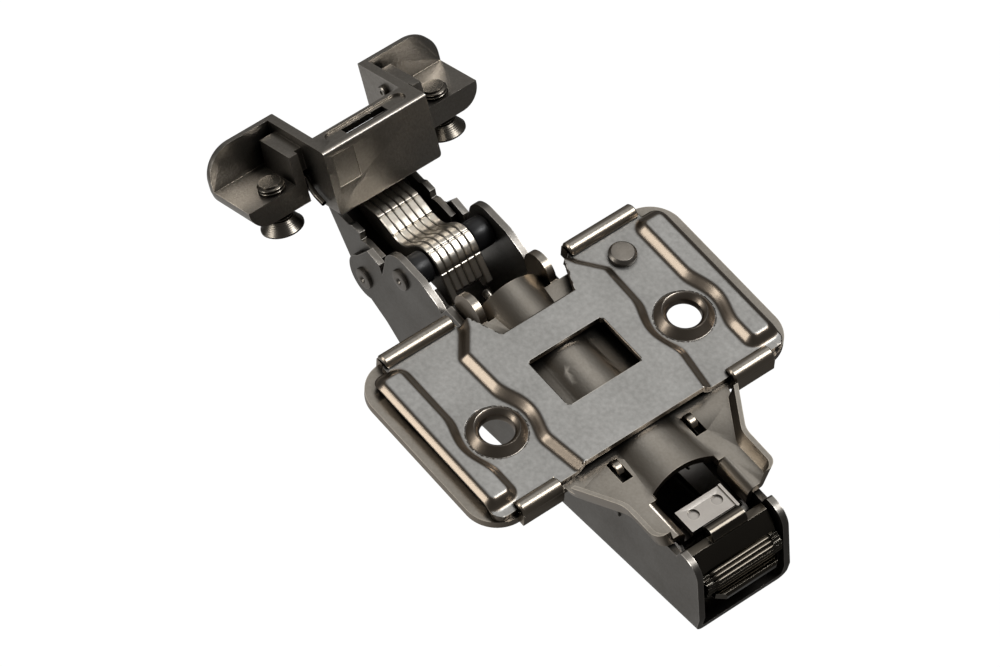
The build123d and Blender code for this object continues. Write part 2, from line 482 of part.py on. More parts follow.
# ---------------------------------------------------------------- links
def outer_link():
    """Folded channel link from the arm's front pin to the door block's outer pin."""
    a = block_point(*BLOCK_PIN_OUTER)
    up, side = block_point(-7.2, 5.35), block_point(-9.1, 7.25)
    outline = [block_point(-5.35, 7.25), block_point(-5.5, 10.6), (-46.9, -11.05), (-44.7, -11.0), (-44.0, -10.4),
               (-42.2, -10.4), (-41.8, -11.6), (-40.9, -11.1), (-37.4, -11.1), (-36.4, -15.2), (-37.0, -18.3),
               (-40.4, -19.0), (-43.9, -17.8), (-46.4, -15.0), side, up]
    blank = across(side_face(outline), -OUTER_HALF_Y, OUTER_HALF_Y)
    blank += rod_y(a, 1.9, -OUTER_HALF_Y, OUTER_HALF_Y)
    in_y = OUTER_HALF_Y - OUTER_T
    cave = [(-60, 0), block_point(-7.9, 11.0), (-45.2, -14.6), (-43.3, -16.7), (-40.3, -17.9),
            (-30, -17.9), (-30, 0)]
    shell = blank - across(side_face(cave), -in_y, in_y)
    shell -= rod_y(PIN_OUTER, ARM_PIN_R + RUN, -9, 9)
    return shell - rod_y(a, BLOCK_PIN_R + RUN, -9, 9)


def link_outline(tail_x, tail_z):
    """Side view of one lamination: eye, shallow hollow, hump round the bush and a straight tail."""
    b, (px, pz), r = block_point(*BLOCK_PIN_INNER), PIN_INNER, LINK_HUMP_R
    rise, fall = [(px + r * math.cos(math.radians(a)), 0, pz + r * math.sin(math.radians(a)))
                  for a in (146, 32)]
    back = [ThreePointArc((-44.4, 0, -9.35), (-42.4, 0, -8.85), (-40.4, 0, -9.2)),
            ThreePointArc((-40.4, 0, -9.2), (-37.5, 0, -9.6), (-35.1, 0, -8.1)), Line((-35.1, 0, -8.1), rise),
            ThreePointArc(rise, (px, 0, pz + r), fall), Line(fall, (tail_x, 0, tail_z))]
    under = [(tail_x, tail_z), (tail_x - 0.9, tail_z - 1.7), (-28.6, -11.1), (-33.4, -11.1), (-37.0, -12.6),
             (-43.0, -12.6), (-47.3, -11.3), (b[0] - 1.4, b[1] - 0.4), (b[0] + 1.36, b[1] - 0.6),
             (-46.9, -9.0), (-46.1, -9.8), (-44.4, -9.35)]
    return make_face([*back, Polyline([(x, 0, z) for x, z in under])])


def link_plate(number):
    """One lamination of the inner link; the two outside ones have the longer tail."""
    y0 = -PLATES * PLATE_PITCH / 2 + number * PLATE_PITCH + PLATE_GAP / 2
    y1 = y0 + PLATE_PITCH - PLATE_GAP
    outside = number in (0, PLATES - 1)
    face = link_outline(-25.1, -10.4) if outside else link_outline(-26.0, -9.45)
    plate = across(face, y0, y1) + rod_y(block_point(*BLOCK_PIN_INNER), 1.42, y0, y1)
    plate -= rod_y(PIN_INNER, ARM_PIN_R + RUN, -9, 9)
    return plate - rod_y(block_point(*BLOCK_PIN_INNER), LINK_END_PIN_R + 0.02, -9, 9)


def link_end_pin():
    """Pin through the inner link's end, its ends just clear of the door block's walls."""
    return rod_y(block_point(*BLOCK_PIN_INNER), LINK_END_PIN_R, -HOOD_IN_Y + 0.2, HOOD_IN_Y - 0.2)


# ---------------------------------------------------------------- closing spring
def spring_pin():
    """Pin across the arm that carries the closing spring."""
    reach = ARM_IN_Y - RUN
    return rod_y(SPRING_AT, SPRING_PIN_R, -reach, reach)


def closing_spring():
    """Double torsion spring of one wire: two coils, a bridge on the web, two legs with ball ends."""
    (cx, cz), (ex, ez), r = SPRING_AT, SPRING_EYE, SPRING_COIL_R
    reach = math.hypot(ex - cx, ez - cz)
    start = math.atan2(ez - cz, ex - cx) - math.acos(r / reach)
    coil = []
    for i in range(round(SPRING_TURNS * SPRING_STEPS) + 1):
        t = start - 2 * math.pi * i / SPRING_STEPS
        coil.append((cx + r * math.cos(t), SPRING_EYE_Y + SPRING_PITCH * i / SPRING_STEPS, cz + r * math.sin(t)))
    eye = (ex, SPRING_EYE_Y, ez)
    (fx, fy, _), foot_z = coil[-1], web_z(coil[-1][0]) + ARM_T + SPRING_WIRE_R + 0.1
    half = [eye, *coil, (fx, fy, foot_z + 0.8), (fx, fy - 1.2, foot_z)]
    path = Polyline(half + [(x, -y, z) for x, y, z in reversed(half)])
    body = sweep(Plane(path @ 0, z_dir=path % 0) * RegularPolygon(SPRING_WIRE_R, 8), path=path,
                 transition=Transition.RIGHT)
    for side in (-1, 1):
        body += rod_y((ex, ez), SPRING_TIP_R, side * (SPRING_EYE_Y - 0.6), side * (SPRING_EYE_Y + 0.6))
    return body


# ---------------------------------------------------------------- door block
def block_box(e, y, d):
    """Box in the door block's own frame."""
    return box(e, y, (-d[1], -d[0]))


def block_rod(ed, r, y0, y1):
    """Round bar along Y in the door block's own frame."""
    return rod_y((ed[0], -ed[1]), r, y0, y1)


def wing():
    """One wing of the door block: curved back wall, screw shelf, stepped boss and inner wall."""
    back = Pos(WING_E, 0, 0) * extrude(Plane.YZ * wing_profile(), WING_BACK_T)
    back, rear = fillet(back.faces().sort_by(Axis.X)[0].edges(), WING_BACK_R), WING_E + WING_BACK_R
    shelf = block_box((rear, SHELF_E), (WING_IN_Y, WING_OUT_Y - 0.05), SHELF_D)
    corner = shelf.edges().filter_by(Axis.X).sort_by(lambda e: e.center().Z - e.center().Y)[0]
    shelf = fillet(corner, SHELF_CORNER_R)
    inner = block_box((rear, HOOD_E), (WING_IN_Y, HOOD_HALF_Y), (0, SHELF_D[1]))
    pocket = block_box((PIN_POCKET_E, 1), (HOOD_HALF_Y, PIN_POCKET_Y), (PIN_POCKET_D, 12))
    pocket += block_box((PIN_SLOT_E, 1), (HOOD_HALF_Y, PIN_POCKET_Y), (-1, 12))
    return back + shelf + inner + boss() - pocket


def boss():
    """Stepped boss on the shelf, drawn in towards its top."""
    (y0, y1), (e0, e1), draft = BOSS_Y, BOSS_E, BOSS_DRAFT
    foot = Pos((e0 + e1) / 2, (y0 + y1) / 2, -SHELF_D[0] - 0.1) * Rectangle(e1 - e0, y1 - y0)
    top = Pos((e0 + e1) / 2, (y0 + y1) / 2, -BOSS_TOP_D) * Rectangle(e1 - e0 - 2 * draft, y1 - y0 - 2 * draft)
    return loft([foot, top])


def wing_profile():
    """Rear view of a wing: square inner side, rounded top outer corner."""
    plate = Pos((WING_IN_Y + WING_OUT_Y) / 2, -WING_D / 2) * Rectangle(WING_OUT_Y - WING_IN_Y, WING_D)
    outer = plate.vertices().sort_by(lambda v: v.X + v.Y)
    plate = fillet(outer[-1], WING_TOP_R)
    low = plate.vertices().sort_by(lambda v: v.X - v.Y)[-1]
    return fillet(low, SHELF_CORNER_R)


def cup_housing():
    """Die-cast door block: hood over the links, two wings with screw shelves."""
    section = Pos(0, -HOOD_D / 2) * Rectangle(2 * HOOD_HALF_Y, HOOD_D)
    section = fillet(section.vertices().group_by(Axis.Y)[0], HOOD_CORNER_R)
    hood = Pos(HOOD_E, 0, 0) * extrude(Plane.YZ * section, -HOOD_E)
    toe = side_face([(0, -HOOD_D), (HOOD_E, -HOOD_D + HOOD_TOE), (HOOD_E, -12), (1, -12)])
    hood -= across(toe, -20, 20)
    body = hood + both(wing())
    body -= block_box((HOOD_E - 1, -HOOD_FRONT_T), (-HOOD_IN_Y, HOOD_IN_Y), (HOOD_ROOF, 13))
    foot = -HOOD_FRONT_T + HOOD_RELIEF_E
    bevel = side_face([(-HOOD_FRONT_T, -HOOD_D + HOOD_RELIEF_D), (foot, -HOOD_D), (foot, -HOOD_D - 1),
                       (-HOOD_FRONT_T, -HOOD_D - 1)])
    body -= across(bevel, -HOOD_IN_Y, HOOD_IN_Y)
    pill = extrude(Pos(*PILL_AT) * Rot(0, 0, 90) * SlotOverall(PILL_LENGTH, PILL_WIDTH), 2)
    body -= Pos(0, 0, -PILL_DEPTH) * pill
    body -= block_box(SLOT_E, (-SLOT_HALF_Y, SLOT_HALF_Y), (-1, HOOD_ROOF + 1))
    body -= both(rod_z((DOOR_SCREW_E, DOOR_SCREW_Y), DOOR_SCREW_R + RUN, -12, 0))
    body -= block_rod(BLOCK_PIN_OUTER, BLOCK_PIN_R + 0.01, -12, 12)
    front = body.edges().filter_by(Axis.Y).filter_by(lambda e: abs(e.center().X) < 0.01 and e.length > 10)
    return to_world(fillet(front, HOOD_FRONT_R))


def cup_pin():
    """Rivet pin of the outer link across the door block, hollow end on one side."""
    end = -HOOD_HALF_Y - BLOCK_PIN_HEAD_H
    pin = block_rod(BLOCK_PIN_OUTER, BLOCK_PIN_R, -HOOD_HALF_Y - 0.1, HOOD_HALF_Y)
    head = block_rod(BLOCK_PIN_OUTER, BLOCK_PIN_HEAD_R, end, -HOOD_HALF_Y - 0.02)
    return to_world(pin + head - block_rod(BLOCK_PIN_OUTER, BLOCK_PIN_BORE_R, end - 1, end + 0.5))


def door_screw(side):
    """Countersunk screw that clamps the door frame's flange under the shelf."""
    profile = [(0, -DOOR_TIP_D), (DOOR_SCREW_R, -DOOR_TIP_D), (DOOR_SCREW_R, -DOOR_NECK_D),
               (DOOR_HEAD_R, -DOOR_RIM_D), (DOOR_HEAD_R, -DOOR_RIM_D - DOOR_RIM_T),
               (0, -DOOR_RIM_D - DOOR_RIM_T)]
    screw = revolve(side_face(profile), Axis.Z)
    screw -= cross_recess((0, 0), -DOOR_RIM_D - 1, -DOOR_RIM_D + 1.2, 1.0, 4.4)
    return to_world(Pos(DOOR_SCREW_E, side * DOOR_SCREW_Y, 0) * screw)


# ---------------------------------------------------------------- export
def build():
    """Every part by name."""
    parts = {
        "base_plate": base_plate(), "carrier_plate": carrier_plate(), "height_cam": height_cam(),
        "arm": arm(), "arm_pin_outer": arm_pin(PIN_OUTER), "arm_pin_inner": arm_pin(PIN_INNER),
        "bush_left": bush(-1), "bush_right": bush(1), "inner_frame": inner_frame(), "hook_pin": hook_pin(),
        "side_screw": side_screw(), "depth_cam": depth_cam(), "release_lever": release_lever(),
        "lever_pin": lever_pin(), "outer_link": outer_link(), "link_end_pin": link_end_pin(),
        "spring_pin": spring_pin(), "closing_spring": closing_spring(), "cup_housing": cup_housing(),
        "cup_pin": cup_pin(), "door_screw_left": door_screw(-1), "door_screw_right": door_screw(1),
    }
    for i in range(PLATES):
        parts[f"link_plate_{i + 1}"] = link_plate(i)
    return parts


os.makedirs("parts", exist_ok=True)
for name, shape in build().items():
    export_step(shape, f"parts/{name}.step")
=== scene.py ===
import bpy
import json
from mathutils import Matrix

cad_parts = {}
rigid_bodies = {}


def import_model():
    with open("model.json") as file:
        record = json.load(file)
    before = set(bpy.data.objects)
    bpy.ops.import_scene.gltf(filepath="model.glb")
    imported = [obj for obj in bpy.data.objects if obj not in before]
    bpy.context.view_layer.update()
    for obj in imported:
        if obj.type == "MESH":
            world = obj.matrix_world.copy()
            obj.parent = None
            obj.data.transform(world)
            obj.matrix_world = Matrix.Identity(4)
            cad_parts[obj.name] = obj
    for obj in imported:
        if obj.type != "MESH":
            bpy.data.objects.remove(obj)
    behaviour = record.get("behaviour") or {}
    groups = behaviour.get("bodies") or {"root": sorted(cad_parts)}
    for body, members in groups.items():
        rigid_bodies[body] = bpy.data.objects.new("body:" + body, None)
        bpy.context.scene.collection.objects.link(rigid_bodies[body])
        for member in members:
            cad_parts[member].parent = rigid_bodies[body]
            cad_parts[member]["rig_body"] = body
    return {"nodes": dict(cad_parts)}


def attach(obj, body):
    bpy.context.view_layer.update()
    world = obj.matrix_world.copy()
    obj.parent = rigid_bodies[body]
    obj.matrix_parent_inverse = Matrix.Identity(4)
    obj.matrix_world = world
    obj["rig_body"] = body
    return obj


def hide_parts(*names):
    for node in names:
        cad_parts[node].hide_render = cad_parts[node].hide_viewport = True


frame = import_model()
"""Dresses the clip-on concealed hinge: softened sheet metal, stamped plate, laminated link, spring and finishes."""
import json
import logging
from dataclasses import dataclass, field
from enum import Enum
from math import atan2, cos, pi, radians, sin

import bmesh
import bpy
import numpy as np
from mathutils import Matrix

logging.basicConfig(level=logging.INFO, format="%(message)s")
LOG = logging.getLogger("hinge")
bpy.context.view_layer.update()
MM = 0.001
Array = np.ndarray
Colour = tuple[float, float, float]
Span = tuple[float, float]
Point = tuple[float, float, float]
Look = bpy.types.Material
Tree = bpy.types.NodeTree
Socket = bpy.types.NodeSocket
Feed = bpy.types.NodeSocket | float | None
Tint = bpy.types.NodeSocket | Colour
HARD_EDGE = 34.0     # degrees above which an edge stays hard


# ------------------------------------------------------------------ meshes
def new_object(name: str, points: Array, faces: list | Array) -> bpy.types.Object:
    """Puts points and faces into a new object at the origin.

    Args:
        name: the piece's name.
        points: (n, 3) corners in metres.
        faces: corner indices of each face.

    Returns:
        The linked object, smooth shaded with its hard edges marked.
    """
    mesh = bpy.data.meshes.new(name)
    mesh.from_pydata(np.asarray(points, float).tolist(), [], [list(map(int, f)) for f in faces])
    mesh.validate()
    return finish_mesh(name, mesh)


def finish_mesh(name: str, mesh: bpy.types.Mesh, sharp: float = HARD_EDGE) -> bpy.types.Object:
    """Shades a mesh smooth up to an angle and links it as an object.

    Args:
        name: the piece's name.
        mesh: the mesh to show.
        sharp: edges above this many degrees stay hard.

    Returns:
        The linked object.
    """
    mesh.polygons.foreach_set("use_smooth", np.ones(len(mesh.polygons), bool))
    mesh.set_sharp_from_angle(angle=radians(sharp))
    obj = bpy.data.objects.new(name, mesh)
    bpy.context.scene.collection.objects.link(obj)
    return obj


def grid_faces(rows: int, cols: int, close_rows: bool, close_cols: bool) -> Array:
    """Four-corner faces of a grid of points numbered row by row.

    Args:
        rows: points along the first parameter.
        cols: points along the second parameter.
        close_rows: the last row joins the first.
        close_cols: the last column joins the first.

    Returns:
        (n, 4) corner indices.
    """
    i = np.arange(rows if close_rows else rows - 1)[:, None]
    j = np.arange(cols if close_cols else cols - 1)[None, :]
    i2, j2 = (i + 1) % rows, (j + 1) % cols
    quad = np.stack(np.broadcast_arrays(i * cols + j, i2 * cols + j, i2 * cols + j2, i * cols + j2), -1)
    return quad.reshape(-1, 4)


def outward(obj: bpy.types.Object) -> bpy.types.Object:
    """Merges doubled corners of a closed piece and turns its faces outwards.

    Args:
        obj: the piece.

    Returns:
        The same piece.
    """
    bm = bmesh.new()
    bm.from_mesh(obj.data)
    bmesh.ops.remove_doubles(bm, verts=bm.verts, dist=2e-6)
    bmesh.ops.recalc_face_normals(bm, faces=bm.faces)
    bm.to_mesh(obj.data)
    bm.free()
    obj.data.set_sharp_from_angle(angle=radians(HARD_EDGE))
    return obj


def lathe(name: str, profile: Array, origin: Array, axis: Array, sides: int = 56) -> bpy.types.Object:
    """Turned piece: point(u, v) = origin + axis * h(u) + r(u) * (cos v * a + sin v * b).

    Args:
        name: the piece's name.
        profile: (n, 2) radius and height in millimetres, from one end of the axis to the other.
        origin: the axis' zero point in millimetres.
        axis: direction of growing height.
        sides: steps round the axis.

    Returns:
        The closed turned piece.
    """
    k = np.asarray(axis, float) / np.linalg.norm(axis)
    a = np.cross(k, [0.3, 0.9, 0.1])
    a /= np.linalg.norm(a)
    b = np.cross(k, a)
    v = np.linspace(0, 2 * pi, sides, endpoint=False)[None, :, None]
    r, h = np.asarray(profile, float)[:, :1, None], np.asarray(profile, float)[:, 1:, None]
    p = np.asarray(origin, float) + k * h + r * (np.cos(v) * a + np.sin(v) * b)
    return outward(new_object(name, p.reshape(-1, 3) * MM, grid_faces(len(profile), sides, False, True)))


def tube(name: str, path: Array, radius: Array | float, hint: Array, sides: int = 14) -> bpy.types.Object:
    """Round wire: point(u, v) = path(u) + r(u) * (cos v * n(u) + sin v * t(u) x n(u)), n from the hint.

    Args:
        name: the piece's name.
        path: (n, 3) points in millimetres.
        radius: wire radius, one number or one for each point.
        hint: a direction that the path never runs along.
        sides: steps round the wire.

    Returns:
        The closed wire, its ends drawn to a point when the radii end in zero.
    """
    t = np.gradient(path, axis=0)
    t /= np.linalg.norm(t, axis=1, keepdims=True)
    n = np.cross(t, np.asarray(hint, float))
    n /= np.linalg.norm(n, axis=1, keepdims=True)
    b = np.cross(t, n)
    v = np.linspace(0, 2 * pi, sides, endpoint=False)[None, :, None]
    r = np.broadcast_to(radius, len(path))[:, None, None]
    p = path[:, None, :] + r * (np.cos(v) * n[:, None, :] + np.sin(v) * b[:, None, :])
    return outward(new_object(name, p.reshape(-1, 3) * MM, grid_faces(len(path), sides, False, True)))


def offset_outline(points: Array, inset: float) -> Array:
    """Closed outline moved inwards along the mean of its two edge normals at each corner.

    Args:
        points: (n, 2) corners in order.
        inset: distance in the points' unit.

    Returns:
        (n, 2) moved corners.
    """
    area = np.sum(points[:, 0] * np.roll(points[:, 1], -1) - np.roll(points[:, 0], -1) * points[:, 1])
    edge = np.roll(points, -1, 0) - points
    edge /= np.linalg.norm(edge, axis=1, keepdims=True)
    normal = np.stack([-edge[:, 1], edge[:, 0]], 1) * np.sign(area)
    mean = normal + np.roll(normal, 1, 0)
    mean /= np.maximum(np.sum(mean * normal, 1, keepdims=True), 0.6)
    return points + mean * inset


def blank(name: str, outline: Array, y0: float, y1: float, bevel: float, dip: Array | float = 0.0) -> bpy.types.Object:
    """Stamped blank: an XZ outline carried along Y, its two rims chamfered by an inset outline.

    Args:
        name: the piece's name.
        outline: (n, 2) x and z in millimetres.
        y0: near face.
        y1: far face.
        bevel: width of the rim chamfer.
        dip: how far each corner of the outline is lowered in z, the chamfer with it.

    Returns:
        The closed blank.
    """
    drop = np.zeros(outline.shape)
    drop[:, 1] = dip
    small = offset_outline(outline, bevel) - drop
    outline = outline - drop
    rings = [(small, y0), (outline, y0 + bevel), (outline, y1 - bevel), (small, y1)]
    p = np.concatenate([np.stack([o[:, 0], np.full(len(o), y), o[:, 1]], 1) for o, y in rings])
    n = len(outline)
    faces = grid_faces(4, n, False, True).tolist() + [list(range(n)), list(range(4 * n - 1, 3 * n - 1, -1))]
    return outward(new_object(name, p * MM, faces))


def prism(name: str, outline: Array, z0: float, z1: float) -> bpy.types.Object:
    """Upright solid: the outline carried straight from z0 to z1, closed by a flat at each end.

    Args:
        name: the piece's name.
        outline: (n, 2) x and y in millimetres.
        z0: lower end in millimetres.
        z1: upper end in millimetres.

    Returns:
        The closed solid.
    """
    n = len(outline)
    points = np.concatenate([np.column_stack([outline, np.full(n, z)]) for z in (z0, z1)])
    walls = grid_faces(2, n, False, True)
    return outward(new_object(name, points * MM, [*walls.tolist(), list(range(n)), list(range(n, 2 * n))]))


def cut(obj: bpy.types.Object, tools: list[bpy.types.Object]) -> None:
    """Takes the tools' volumes out of a piece's mesh and deletes the tools.

    Args:
        obj: the piece to cut.
        tools: closed shapes, each gone afterwards.
    """
    for tool in tools:
        step = obj.modifiers.new("cut", "BOOLEAN")
        step.operation, step.solver, step.object = "DIFFERENCE", "EXACT", tool
        bpy.context.view_layer.update()
        whole = obj.evaluated_get(bpy.context.evaluated_depsgraph_get())
        mesh = bpy.data.meshes.new_from_object(whole)
        obj.modifiers.remove(step)
        obj.data = mesh
        bpy.data.objects.remove(tool)


def softened(name: str, node: str, width: float, segments: int = 2, angle: float = 30.0,
             tools: tuple = ()) -> bpy.types.Object:
    """Copy of a CAD node with merged corners, joined flats and rolled edges.

    Args:
        name: the piece's name.
        node: the CAD node that it stands for.
        width: width of the rolled edges in millimetres.
        segments: steps across each edge.
        angle: only edges sharper than this many degrees are rolled.
        tools: shapes cut out of the copy before its edges are rolled.

    Returns:
        The piece, riding on the node's body in its place.
    """
    source = frame["nodes"][node]
    mesh = source.data.copy()
    mesh.materials.clear()
    bm = bmesh.new()
    bm.from_mesh(mesh)
    bmesh.ops.remove_doubles(bm, verts=bm.verts, dist=3e-6)
    bmesh.ops.dissolve_degenerate(bm, edges=bm.edges, dist=3e-6)
    bmesh.ops.dissolve_limit(bm, angle_limit=radians(0.6), verts=bm.verts, edges=bm.edges)
    bm.to_mesh(mesh)
    bm.free()
    obj = finish_mesh(name, mesh)
    cut(obj, list(tools))
    roll = obj.modifiers.new("rolled_edges", "BEVEL")
    roll.width = width * MM
    roll.segments = segments
    roll.limit_method = "ANGLE"
    roll.angle_limit = radians(angle)
    roll.use_clamp_overlap = True
    roll.harden_normals = True
    roll.miter_outer = "MITER_ARC"
    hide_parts(node)
    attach(obj, source["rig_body"])
    return obj


# ------------------------------------------------------------------ shared shader effects
class Effect(Enum):
    """Names of the node groups that several finishes share."""

    # rubbed edges that also carry a painted edge highlight
    RUBBED_EDGE_AND_HIGHLIGHT = "rubbed_edge_and_highlight"
    MOTTLE = "mottle"
    # painted shade in corners and hollows, from occlusion
    PAINTED_SHADE = "painted_corner_shade"


def start_group(effect: Effect, inputs: list[tuple[str, str, float]],
                outputs: list[tuple[str, str]]) -> tuple[Tree, bpy.types.Node, bpy.types.Node]:
    """Opens an empty node group with named sockets.

    Args:
        effect: the group's name.
        inputs: name, socket type and first value of each input.
        outputs: name and socket type of each output.

    Returns:
        The group tree, its input node and its output node.
    """
    tree = bpy.data.node_groups.new(effect.value, "ShaderNodeTree")
    for name, kind, value in inputs:
        socket = tree.interface.new_socket(name, in_out="INPUT", socket_type=f"NodeSocket{kind}")
        if kind == "Float":
            socket.default_value = value
    for name, kind in outputs:
        tree.interface.new_socket(name, in_out="OUTPUT", socket_type=f"NodeSocket{kind}")
    return tree, tree.nodes.new("NodeGroupInput"), tree.nodes.new("NodeGroupOutput")


def math_node(tree: Tree, operation: str, a: Feed, b: Feed = None, clamp: bool = False) -> Socket:
    """One Math node whose inputs are sockets or numbers.

    Args:
        tree: the tree that gets the node.
        operation: Blender's name of the operation.
        a: first socket or number.
        b: second socket or number, if any.
        clamp: keeps the result between 0 and 1.

    Returns:
        The node's output socket.
    """
    node = tree.nodes.new("ShaderNodeMath")
    node.operation, node.use_clamp = operation, clamp
    for socket, value in zip(node.inputs, (a, b)):
        if value is None:
            continue
        if isinstance(value, (int, float)):
            socket.default_value = value
        else:
            tree.links.new(value, socket)
    return node.outputs[0]


def noise_node(tree: Tree, vector: Socket, scale: Feed, detail: float = 4.0, rough: float = 0.55) -> Socket:
    """Noise on object coordinates.

    Args:
        tree: the tree that gets the node.
        vector: socket with the coordinates.
        scale: number, or a socket with it.
        detail: octaves.
        rough: weight of the fine octaves.

    Returns:
        The noise value's socket.
    """
    node = tree.nodes.new("ShaderNodeTexNoise")
    tree.links.new(vector, node.inputs["Vector"])
    if isinstance(scale, (int, float)):
        node.inputs["Scale"].default_value = scale
    else:
        tree.links.new(scale, node.inputs["Scale"])
    node.inputs["Detail"].default_value = detail
    node.inputs["Roughness"].default_value = rough
    return node.outputs[0]


def span_node(tree: Tree, value: Socket, lo: float, hi: float, to_lo: float = 0.0, to_hi: float = 1.0) -> Socket:
    """Maps a value from one range to another, clamped.

    Args:
        tree: the tree that gets the node.
        value: socket to map.
        lo: value that becomes to_lo.
        hi: value that becomes to_hi.
        to_lo: result at lo.
        to_hi: result at hi.

    Returns:
        The result's socket.
    """
    node = tree.nodes.new("ShaderNodeMapRange")
    tree.links.new(value, node.inputs["Value"])
    for name, number in (("From Min", lo), ("From Max", hi), ("To Min", to_lo), ("To Max", to_hi)):
        node.inputs[name].default_value = number
    return node.outputs[0]


def build_rubbed_edge_and_highlight() -> None:
    """Group: rubbed edges with a painted highlight, 1 along outer edges, broken up by noise, from the angle between
    rounded and true normals.
    """
    tree, put, out = start_group(
        Effect.RUBBED_EDGE_AND_HIGHLIGHT, [("Vector", "Vector", 0), ("Break Scale", "Float", 900.0), ("Break", "Float", 0.5),
                           ("Reach", "Float", 0.00022)],
        [("Edge", "Float")])
    round_normal = tree.nodes.new("ShaderNodeBevel")
    round_normal.samples = 6
    tree.links.new(put.outputs["Reach"], round_normal.inputs["Radius"])
    plain = tree.nodes.new("ShaderNodeNewGeometry")
    dot = tree.nodes.new("ShaderNodeVectorMath")
    dot.operation = "DOT_PRODUCT"
    tree.links.new(round_normal.outputs[0], dot.inputs[0])
    tree.links.new(plain.outputs["Normal"], dot.inputs[1])
    edge = span_node(tree, dot.outputs["Value"], 0.985, 0.86)
    patches = noise_node(tree, put.outputs["Vector"], put.outputs["Break Scale"], 3.0)
    keep = span_node(tree, patches, 0.35, 0.6)
    mixed = math_node(tree, "MULTIPLY", math_node(tree, "SUBTRACT", 1.0, keep), put.outputs["Break"])
    tree.links.new(math_node(tree, "MULTIPLY", edge, math_node(tree, "SUBTRACT", 1.0, mixed), True),
                   out.inputs["Edge"])


def build_mottle() -> None:
    """Group: uneven plating, as a wide cloud, a fine speckle and their height."""
    tree, put, out = start_group(
        Effect.MOTTLE, [("Vector", "Vector", 0), ("Cloud Scale", "Float", 120.0), ("Speckle Scale", "Float", 3000.0)],
        [("Cloud", "Float"), ("Speckle", "Float"), ("Height", "Float")])
    cloud = span_node(tree, noise_node(tree, put.outputs["Vector"], put.outputs["Cloud Scale"], 5.0), 0.3, 0.7)
    speckle = span_node(tree, noise_node(tree, put.outputs["Vector"], put.outputs["Speckle Scale"], 2.0), 0.3, 0.7)
    tree.links.new(cloud, out.inputs["Cloud"])
    tree.links.new(speckle, out.inputs["Speckle"])
    height = math_node(tree, "ADD", math_node(tree, "MULTIPLY", cloud, 0.25), speckle)
    tree.links.new(height, out.inputs["Height"])


def build_painted_shade() -> None:
    """Group: painted shade, 1 in tight inner corners where light does not reach."""
    tree, put, out = start_group(Effect.PAINTED_SHADE, [("Reach", "Float", 0.0015)], [("Recess", "Float")])
    shut = tree.nodes.new("ShaderNodeAmbientOcclusion")
    shut.samples = 6
    shut.only_local = False
    tree.links.new(put.outputs["Reach"], shut.inputs["Distance"])
    tree.links.new(span_node(tree, shut.outputs["AO"], 0.75, 0.15), out.inputs["Recess"])


